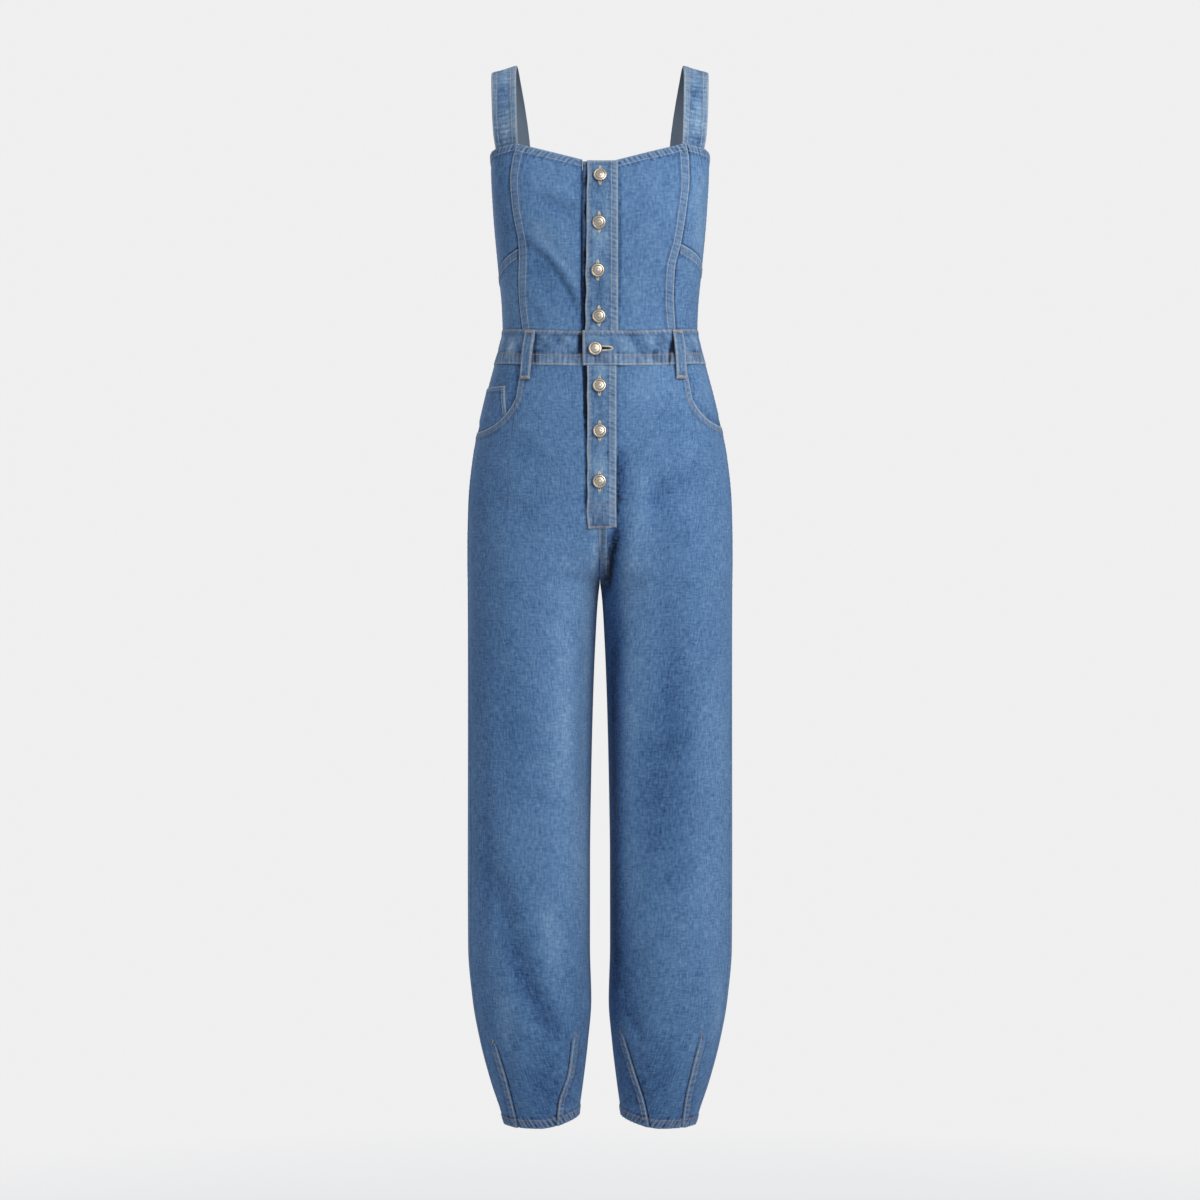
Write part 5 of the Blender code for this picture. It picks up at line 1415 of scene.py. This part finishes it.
def stitch_dart(panel, dart, side):
    """Two stitch lines on a dart's strip and a bar tack at its top."""
    line = dart_line(dart)
    strip = dart["strip"]
    for offset, thread in ((0.0012, "trousers_pale"), (DART_STRIP - 0.0014, "trousers_tan")):
        inside = line[(line[:, 1] > DART_STITCH_FOOT) & (line[:, 1] < line[0, 1] - offset * 1.6)]
        across = side * (inside[:, 0] + strip * offset)
        stitch_run(*line_on(panel, across, inside[:, 1], leg=True), thread)
    tip, normal = line_on(panel, side * (line[:1, 0] + strip * 0.002), line[:1, 1], leg=True)
    down = unit(np.array((side * strip * 0.1, 0.0, -1.0)))
    bar_tack(tip[0], down, normal[0], 0.0030, 0.0055)


def add_leg_back(letter):
    """Trouser back, from the side seam round to the centre back and the inner leg."""
    side = SIDES[letter]
    angle, height = grid_between(
        lambda z: side_seam_angle(z, -HALF_GAP),
        lambda z: -centre_angle(HALF_GAP, z),
        lambda a: waistband_foot(a) - HALF_GAP,
        hem_edge,
        shares_of(*LEG_BACK_WIDE),
        leg_rows(214, 28, (0.000564,), (0.000564,)),
        seat=leg_share(SEAT_HEIGHT),
    )
    base, normal, push, wash_and_shade = body_grid(side, angle, height)
    seam = smooth_step(-0.652, -0.640, base[..., 2]) if side > 0.0 else 0.0
    lift, shade, worn = finish_edge("centre", np.abs(base[..., 0]), -base[..., 2], 2.0)
    edges = {"bottom": "hem", "start": "under", "end": "plain", "top": "plain"}
    panel = dress(
        "leg_back_" + letter, base, normal, push, edges, PANELS,
        relief=seam * lift, pale=seam * shade + wash_and_shade, worn=seam * worn, anchor=0.0,
    )
    stitch_edges(panel, {"bottom": "hem"}, "trousers_tan")
    if side > 0.0:
        for offset in stitch_offsets("centre"):
            stitch_run(*line_beside(panel, "end", offset, -0.640, -0.300), "trousers_pale")


def add_pockets():
    """Denim behind each pocket mouth, level with the panels at the side seam, and the coin
    pocket."""
    for letter, side in SIDES.items():
        scoop = scoop_of(side)
        angle, height = grid_between(
            lambda z: side_seam_angle(z, HALF_GAP),
            lambda z: angle_at(scoop["inner_x"] - FACING_REACH, z),
            lambda a: waistband_foot(a) - HALF_GAP,
            lambda a: np.full_like(a, scoop["lowest"] - FACING_REACH),
            *grid_shares("pocket_facing"),
        )
        base, normal, push, wash_and_shade = body_grid(side, angle, height)
        sunk, rise = facing_depth(side, base, angle)
        edges = {"top": "plain", "start": "side"}
        # Painted shade on the facing where it lies deep under the pocket mouth's edge
        pale = wash_and_shade - 0.14 * (1.0 - rise)
        name = "pocket_facing_" + letter
        dress(name, base, normal, push - sunk, edges, PANELS, tone=-0.04, pale=pale)
    side = SIDES["r"]
    angle, height = grid_between(
        lambda z: side_seam_angle(z) + np.radians(COIN_POCKET_FROM_SEAM),
        lambda z: angle_at(COIN_POCKET_INNER_X, z),
        lambda a: np.full_like(a, COIN_POCKET_TOP),
        lambda a: np.minimum(
            mouth_height(side, a) + 2.0 * LOOSE_GAP, COIN_POCKET_TOP - COIN_POCKET_LEAST
        ),
        *grid_shares("coin_pocket"),
    )
    base, normal, push, _ = body_grid(side, angle, height)
    sunk, _ = facing_depth(side, base, angle)
    lift = push - sunk + CLOTH + SEAM_GAP
    edges = {"top": "patch", "end": "patch"}
    panel = dress("coin_pocket", base, normal, lift, edges, PANELS, tone=-0.02)
    stitch_edges(panel, edges, "trousers_pale")


def facing_depth(side, base, angle):
    """How far the facing lies under the trouser front: its full depth at the mouth's edge, rising
    to the panels' level by 16 mm above it. Also gives that rise from 0 to 1."""
    edge_angle = np.linspace(0.0, 1.2, 90)
    edge = ring_point(edge_angle, mouth_height(side, edge_angle)) * np.array((side, 1.0, 1.0))
    scoop_x = scoop_of(side)["inner_x"]
    gap, _ = distance_to_line(base, edge[np.abs(edge[:, 0]) > scoop_x - 0.002])
    above = base[..., 2] > mouth_height(side, angle)
    shows = above & (np.abs(base[..., 0]) > scoop_x - 0.001)
    rise = np.where(shows, smooth_step(0.002, 0.016, gap), 0.0)
    return (CLOTH + FACING_GAP) * (1.0 - rise), rise


def band_wave(height):
    """Uneven lift of a band's free edge down the front: slow waves that open between buttons."""
    slow = np.sin(height / 0.0087) * np.sin(height / 0.031 + 0.8)
    return 0.6 * slow + 0.4 * np.sin(height / 0.0058 + 1.0)


def underlay_shade(x, height, down):
    """Pale underlay with a painted shadow of the band's free edge as a dark line beside it: strong
    in its lower half and in two pockets above."""
    dark = 1.0 - smooth_step(-0.250, -0.215, height) + bell(height + 0.152, 0.010)
    dark = np.minimum(dark + bell(height + 0.190, 0.011), 1.0)
    inner = x - BAND_FREE_EDGE + 0.0008 + 0.0016 * down
    return 0.16 - (0.24 + 0.42 * dark) * bell(inner, 0.0012 + 0.0010 * dark)


def add_bands():
    """Button bands and their underlays on the bodice and on the fly."""
    centre = math.pi / 2
    top = float(top_edge(np.array([centre]))[0])
    seam = float(waist_seam(centre)) + HALF_GAP
    foot = float(waistband_foot(centre)) - HALF_GAP
    underlay = LEFT_FRONT_EDGE - SEAM_GAP
    band_edges = {"start": "sewn", "end": "free"}
    for name, left, right, high, low, lift, edges, look, tone in (
        (
            "placket_bodice", BAND_SEWN_EDGE, BAND_FREE_EDGE, top, seam, BAND_LIFTS["bodice"],
            {**band_edges, "top": "tab"}, BANDS, 0.02,
        ),
        (
            "placket_under_bodice", underlay, UNDERLAY_EDGE, top, seam, 0.0,
            {"end": "under", "top": "tab"}, BANDS, -0.10,
        ),
        (
            "fly_placket", FLY_SEWN_EDGE, BAND_FREE_EDGE, foot, FLY_FOOT, BAND_LIFTS["fly"],
            {**band_edges, "bottom": "tab"}, BANDS, 0.02,
        ),
        (
            "fly_under", underlay, UNDERLAY_EDGE, foot, FLY_UNDER_FOOT, -CLOTH - LOOSE_GAP,
            {"end": "plain"}, PANELS, -0.05,
        ),
    ):
        over = name in ("placket_bodice", "fly_placket")
        share = shares_of(left - right, BAND_SPANS[0])[None, :]
        height = high + shares_of(high - low, BAND_SPANS[1])[:, None] * (low - high)
        down = (high - height) / (high - low)
        reach = relief = 0.0
        if over:
            waves = band_wave(height + 0.01 * lift)
            lean = PLACKET_LEAN * down if name == "placket_bodice" else 0.0
            reach = 0.0008 * (waves + 0.4) - lean
        x = left + share * (right - left) + reach * share**5
        base, normal, push, _ = front_grid(x, height)
        x = base[..., 0]
        if over:
            middle = bell(x - 0.5 * (left + right) + 0.004, 0.010)
            ripple = clouds(2.4 * x, 1.5 * base[..., 2], 5.0) * middle
            relief = 0.0015 * (0.75 + waves) * bell(x - right - reach, 0.007) + 0.0010 * ripple
            pale = 0.24 * ripple
        else:
            pale = underlay_shade(x, height, down)
        panel = dress(name, base, normal, push + lift, edges, look, CLOTH, tone, relief, pale)
        if name != "fly_under":
            thread = "bodice_pale" if "bodice" in name else "trousers_pale"
            long_edges = {edge: kind for edge, kind in edges.items() if edge in ("start", "end")}
            stitch_edges(panel, long_edges, thread)
        if name == "fly_placket":
            stitch_box(panel)


def stitch_box(panel):
    """Stitched box at the fly's foot: two rows across and two short ones down between them."""
    for height in BOX_HEIGHTS:
        line = line_on(panel, np.linspace(*BOX_WIDE, 30), np.full(30, height))
        stitch_run(*line, "trousers_tan", BOX_PITCH, 0.0023)
    for x in BOX_UPRIGHTS:
        line = line_on(panel, np.full(20, x), np.linspace(*BOX_TALL, 20))
        stitch_run(*line, "trousers_tan", BOX_PITCH, 0.0020)


def smooth_path(rows, count):
    """Smooth curve through the rows: a cubic in each span, its slopes half the step between the
    rows on either side."""
    rows = np.asarray(rows, float)
    t = np.linspace(0.0, len(rows) - 1.0, count)
    index = np.minimum(t.astype(int), len(rows) - 2)
    share = (t - index)[:, None]
    before = rows[np.maximum(index - 1, 0)]
    here = rows[index]
    there = rows[index + 1]
    beyond = rows[np.minimum(index + 2, len(rows) - 1)]
    slope_here = 0.5 * (there - before)
    slope_there = 0.5 * (beyond - here)
    cubic = 2.0 * here - 2.0 * there + slope_here + slope_there
    square = -3.0 * here + 3.0 * there - 2.0 * slope_here - slope_there
    return here + share * (slope_here + share * (square + share * cubic))


def strap_foot(side, face, edges):
    """The rows of a strap that lie inside the bodice's top edge, as pairs of edge points."""
    x = np.array(edges)
    rows = []
    for tuck in STRAP_TUCK:
        height = top_edge(angle_at(x, np.full(2, TOP_EDGE_LEVEL), face)) - tuck
        base, normal, push, _ = body_grid(side, angle_at(x, height, face), height)
        rows.append(base + normal * (push - CLOTH - LOOSE_GAP)[..., None])
    return rows


def add_strap(letter):
    """Shoulder strap: inside the front's top edge, over the shoulder, inside the back's."""
    side = SIDES[letter]
    front = strap_foot(side, 1.0, STRAP_FRONT_FOOT)
    back = strap_foot(side, -1.0, STRAP_BACK_FOOT)
    long_edges = []
    for number, (edge, lean) in enumerate((("inner", 1.0), ("outer", -1.0))):
        arch = [
            (side * row[edge + "_x"], row[edge + "_y"], row["z"] + lean * row["lean"])
            for row in (dict(zip(STRAP_COLUMNS, fields)) for fields in STRAP_ARCH)
        ]
        rows = [front[1][number], front[0][number], *arch, back[0][number], back[1][number]]
        long_edges.append(smooth_path(rows, STRAP_ROWS)[:, None, :])
    inner, outer = long_edges
    share = shares_of(*STRAP_WIDE)[None, :, None]
    base = outer + share * (inner - outer)
    towards = base - np.array((0.0, 0.0, -0.13))
    towards[..., 0] = 0.0
    normal = grid_normals(base, towards)
    along = run_lengths(base, 0)
    middle = bell(share[..., 0] - 0.5, 0.30)
    pucker = clouds(1.9 * run_lengths(base, 1), 1.9 * along, 3.0 + side)
    pucker = (pucker + 0.4 * gathers(along, 2.0 + side)) * middle
    foot = -0.18 * bell(along - 0.024, 0.008)
    foot = foot - (0.24 + 0.10 * side) * bell(along - 0.084, 0.022) * middle
    edges = {"start": "strap", "end": "strap"}
    panel = dress(
        "strap_" + letter, base, normal, 0.0, edges, BANDS, STRAP_CLOTH, 0.19, 0.00055 * pucker,
        0.38 * pucker + foot,
    )
    stitch_edges(panel, edges, "bodice_pale")


def add_belt_loops():
    """Belt loops: slanted strips, sewn down at both ends and standing off in the middle."""
    across, down = grid_shares("belt_loop")
    down = down[:, None]
    for fields in BELT_LOOPS:
        loop = dict(zip(LOOP_COLUMNS, fields))
        face = loop["face"]
        centre = loop["top_x"] + down * (loop["bottom_x"] - loop["top_x"])
        x = SIDES[loop["side"]] * (centre + LOOP_WIDTH * (0.5 - across))
        at_waist = angle_at(np.array([loop["top_x"]]), np.array([WAIST_SEAM]), face)
        top = waist_seam(at_waist) + LOOP_TOP_ABOVE_BAND
        bottom = waistband_foot(at_waist) - LOOP_BOTTOM_BELOW_BAND
        base, normal, push, _ = front_grid(x, top + down * (bottom - top), face)
        arch = loop["stand_off"] * np.sin(math.pi * down) ** LOOP_ARCH_POWER
        lift = push + HEM_RAISE + BAND_CLOTH + SEAM_GAP + arch
        long_edges = {"start": "loop", "end": "loop"}
        edges = {**long_edges, "top": "tab", "bottom": "tab"}
        relief = 0.0003 * clouds(3.0 * base[..., 0], 1.4 * base[..., 2], 1.0)
        panel = dress(
            loop["name"], base, normal, lift, edges, BANDS, BAND_CLOTH, 0.05, relief, 120.0 * relief
        )
        stitch_edges(panel, long_edges, "bodice_pale")
        middle = panel.outer.shape[1] // 2
        for row in (4, -5):
            side_to_side = unit(panel.outer[row, -3] - panel.outer[row, 2])
            tack = panel.outer[row, middle], side_to_side, panel.normal[row, middle]
            bar_tack(*tack, 0.0022, 0.0095, count=20)


def band_seat(x, z, band):
    """Point on a band's outer side at x and z, with its directions across, up and outwards."""
    heights = np.array((z - 0.01, z, z + 0.01))
    base, normal, push, _ = front_grid(np.full(3, x), heights)
    points = base + normal * (push + BAND_LIFTS[band])[:, None]
    up = unit(points[2] - points[0])
    out = unit(np.cross(np.array((1.0, 0.0, 0.0)), up))
    return points[1], np.cross(up, out), up, out


def add_buttons():
    """Domed buttons with plain rings, turned from one profile, each in its stitched buttonhole."""
    profile = np.array(BUTTON_PROFILE)
    radius, level = profile[:, 0, None, None], profile[:, 1, None, None]
    turn = np.linspace(0.0, 2.0 * math.pi, BUTTON_SIDES, endpoint=False)[:, None]
    polish = np.interp(profile[:, 0], *zip(*BUTTON_POLISH))
    for number, fields in enumerate(BUTTONS, start=1):
        button = dict(zip(BUTTON_COLUMNS, fields))
        seat, across, up, out = band_seat(button["x"], button["z"], button["band"])
        tilt = 0.05 * math.sin(2.7 * number) * across + 0.04 * math.cos(1.9 * number) * up
        axis = unit(out + tilt)
        right = unit(np.cross(up, axis))
        above = np.cross(axis, right)
        rings = seat + axis * (SEAM_GAP + level)
        rings = rings + radius * (right * np.cos(turn) + above * np.sin(turn))
        name = "button_" + str(number)
        shades = (("polish", np.repeat(polish, BUTTON_SIDES)),)
        faces = capped_faces(numbered(rings))
        points = rings.reshape(-1, 3)
        make_piece(name + "_dome", points, faces, BRASS, (name,), None, shades)
        if button["band"] == "waistband":
            seat, across, up, out = band_seat(
                button["x"] + 0.0080, button["z"] + 0.0006, button["band"]
            )
            add_buttonhole(name, seat, up, across, out, 0.0140, 0.0026)
        else:
            add_buttonhole(name, seat, across, up, out, 0.0122, 0.0016)


def add_buttonhole(name, seat, across, along, out, half_length, half_width):
    """Buttonhole: a ring of close thread ridges round a long oval, and inside it a near-black slit
    that paints the shade of the opening.
    """
    places = 120
    t = np.linspace(0.0, 2.0 * math.pi, places, endpoint=False)
    x = half_width * np.sign(np.cos(t)) * np.abs(np.cos(t)) ** 0.8
    y = half_length * np.sin(t)

    def placed(right, up, high):
        return seat + right[..., None] * across + up[..., None] * along + high[..., None] * out

    path = np.stack((x, y), axis=1)
    ahead = unit(np.roll(path, -1, axis=0) - np.roll(path, 1, axis=0))
    ridge = 1.0 + 0.16 * np.cos(math.pi * np.arange(places))[:, None]
    turn = np.linspace(0.0, 2.0 * math.pi, 8, endpoint=False)
    wide = 0.00095 * ridge * np.cos(turn)
    high = 0.00040 * ridge * np.sin(turn) + 0.00042
    rings = placed(x[:, None] + ahead[:, 1:] * wide, y[:, None] - ahead[:, :1] * wide, high)
    index = numbered(rings)
    after = np.roll(index, -1, axis=0)
    beside, beyond = np.roll(index, -1, axis=1), np.roll(after, -1, axis=1)
    faces = np.stack((index, after, beyond, beside), axis=-1).reshape(-1, 4).tolist()
    points = rings.reshape(-1, 3)
    make_piece(name + "_hole_thread", points, faces, THREAD_MATERIALS["gold"])
    # Slit: a near-black sheet as painted shade in the cut
    share, level = np.array(SLIT_RINGS).T[..., None]
    rings = placed(share * 0.75 * x, share * 0.97 * y, level)
    points, faces = rings.reshape(-1, 3), capped_faces(numbered(rings))
    make_piece(name + "_hole_slit", points, faces, SLIT_SHADE)


def light_and_camera():
    """Camera level with the middle of the garment, and soft light from the viewer's right."""
    scene = bpy.context.scene
    scene.view_settings.view_transform = "Standard"
    camera_data = bpy.data.cameras.new("camera")
    camera_data.lens = 99.2
    camera_data.sensor_width = 36.0
    camera_data.clip_end = 100.0
    camera = bpy.data.objects.new("camera", camera_data)
    camera.location = (0.0, -4.2, -0.671)
    camera.rotation_euler = (math.radians(90.0), 0.0, 0.0)
    scene.collection.objects.link(camera)
    scene.camera = camera
    for name, power, size, place, target in (
        ("key", 29.5, (1.3, 1.5), (1.14, -1.52, 0.30), (0.0, 0.0, -0.50)),
        ("back", 15.0, (1.2, 1.5), (-1.15, 1.90, 0.35), (0.0, 0.0, -0.60)),
    ):
        lamp = bpy.data.lights.new(name, "AREA")
        lamp.shape = "RECTANGLE"
        lamp.size, lamp.size_y = size
        lamp.energy = power
        light = bpy.data.objects.new(name, lamp)
        light.location = place
        aim = (Vector(target) - Vector(place)).to_track_quat("-Z", "Y")
        light.rotation_euler = aim.to_euler()
        light.visible_camera = False
        scene.collection.objects.link(light)
    world = bpy.data.worlds.new("studio")
    scene.world = world
    world.use_nodes = True
    tree = world.node_tree
    background = tree.nodes["Background"]
    background.inputs["Color"].default_value = (0.880, 0.970, 1.110, 1.0)
    background.inputs["Strength"].default_value = 0.43
    seen = add_node(tree, "ShaderNodeBackground", {"Color": (0.868, 0.868, 0.873, 1.0)})
    to_camera = tree.nodes.new("ShaderNodeLightPath").outputs["Is Camera Ray"]
    inputs = {0: to_camera, 1: background.outputs[0], 2: seen.outputs[0]}
    mix = add_node(tree, "ShaderNodeMixShader", inputs)
    tree.links.new(mix.outputs[0], tree.nodes["World Output"].inputs["Surface"])


def add_floor():
    """Pale round floor that fades out far from the garment."""
    turn = np.linspace(0.0, 2.0 * math.pi, 96, endpoint=False)
    radii = np.array((0.001, 0.3, 0.8, 1.4, 2.0, 2.5))[:, None]
    x, y, z = np.broadcast_arrays(radii * np.cos(turn), radii * np.sin(turn), FLOOR)
    rings = np.stack((x, y, z), axis=-1)
    index = numbered(rings)
    faces = ring_faces(index) + [index[0][::-1].tolist()]
    mesh = bpy.data.meshes.new("floor")
    mesh.from_pydata(rings.reshape(-1, 3).tolist(), [], faces)
    mesh.update()
    floor = bpy.data.objects.new("floor", mesh)
    bpy.context.scene.collection.objects.link(floor)
    material = make_plain("pale_floor", (0.90, 0.90, 0.905), 0.95)
    tree = material.node_tree
    shader = tree.nodes["Principled BSDF"]
    shader.inputs["Specular IOR Level"].default_value = 0.0
    source = tree.nodes.new("ShaderNodeTexCoord").outputs["Object"]
    distance = add_node(tree, "ShaderNodeVectorMath", {0: source}, operation="LENGTH")
    inputs = {
        "Value": distance.outputs["Value"], "From Min": 0.5, "From Max": 2.4,
        "To Min": 0.9, "To Max": 0.0,
    }
    fade = add_node(tree, "ShaderNodeMapRange", inputs)
    tree.links.new(fade.outputs[0], shader.inputs["Alpha"])
    mesh.materials.append(material)


for letter in SIDES:
    add_bodice_front(letter)
    add_side_panels(letter)
    add_leg_front(letter)
    add_leg_back(letter)
    add_strap(letter)
add_bodice_back()
add_waistband()
add_pockets()
add_bands()
add_belt_loops()
add_buttons()
build_threads()
light_and_camera()
add_floor()
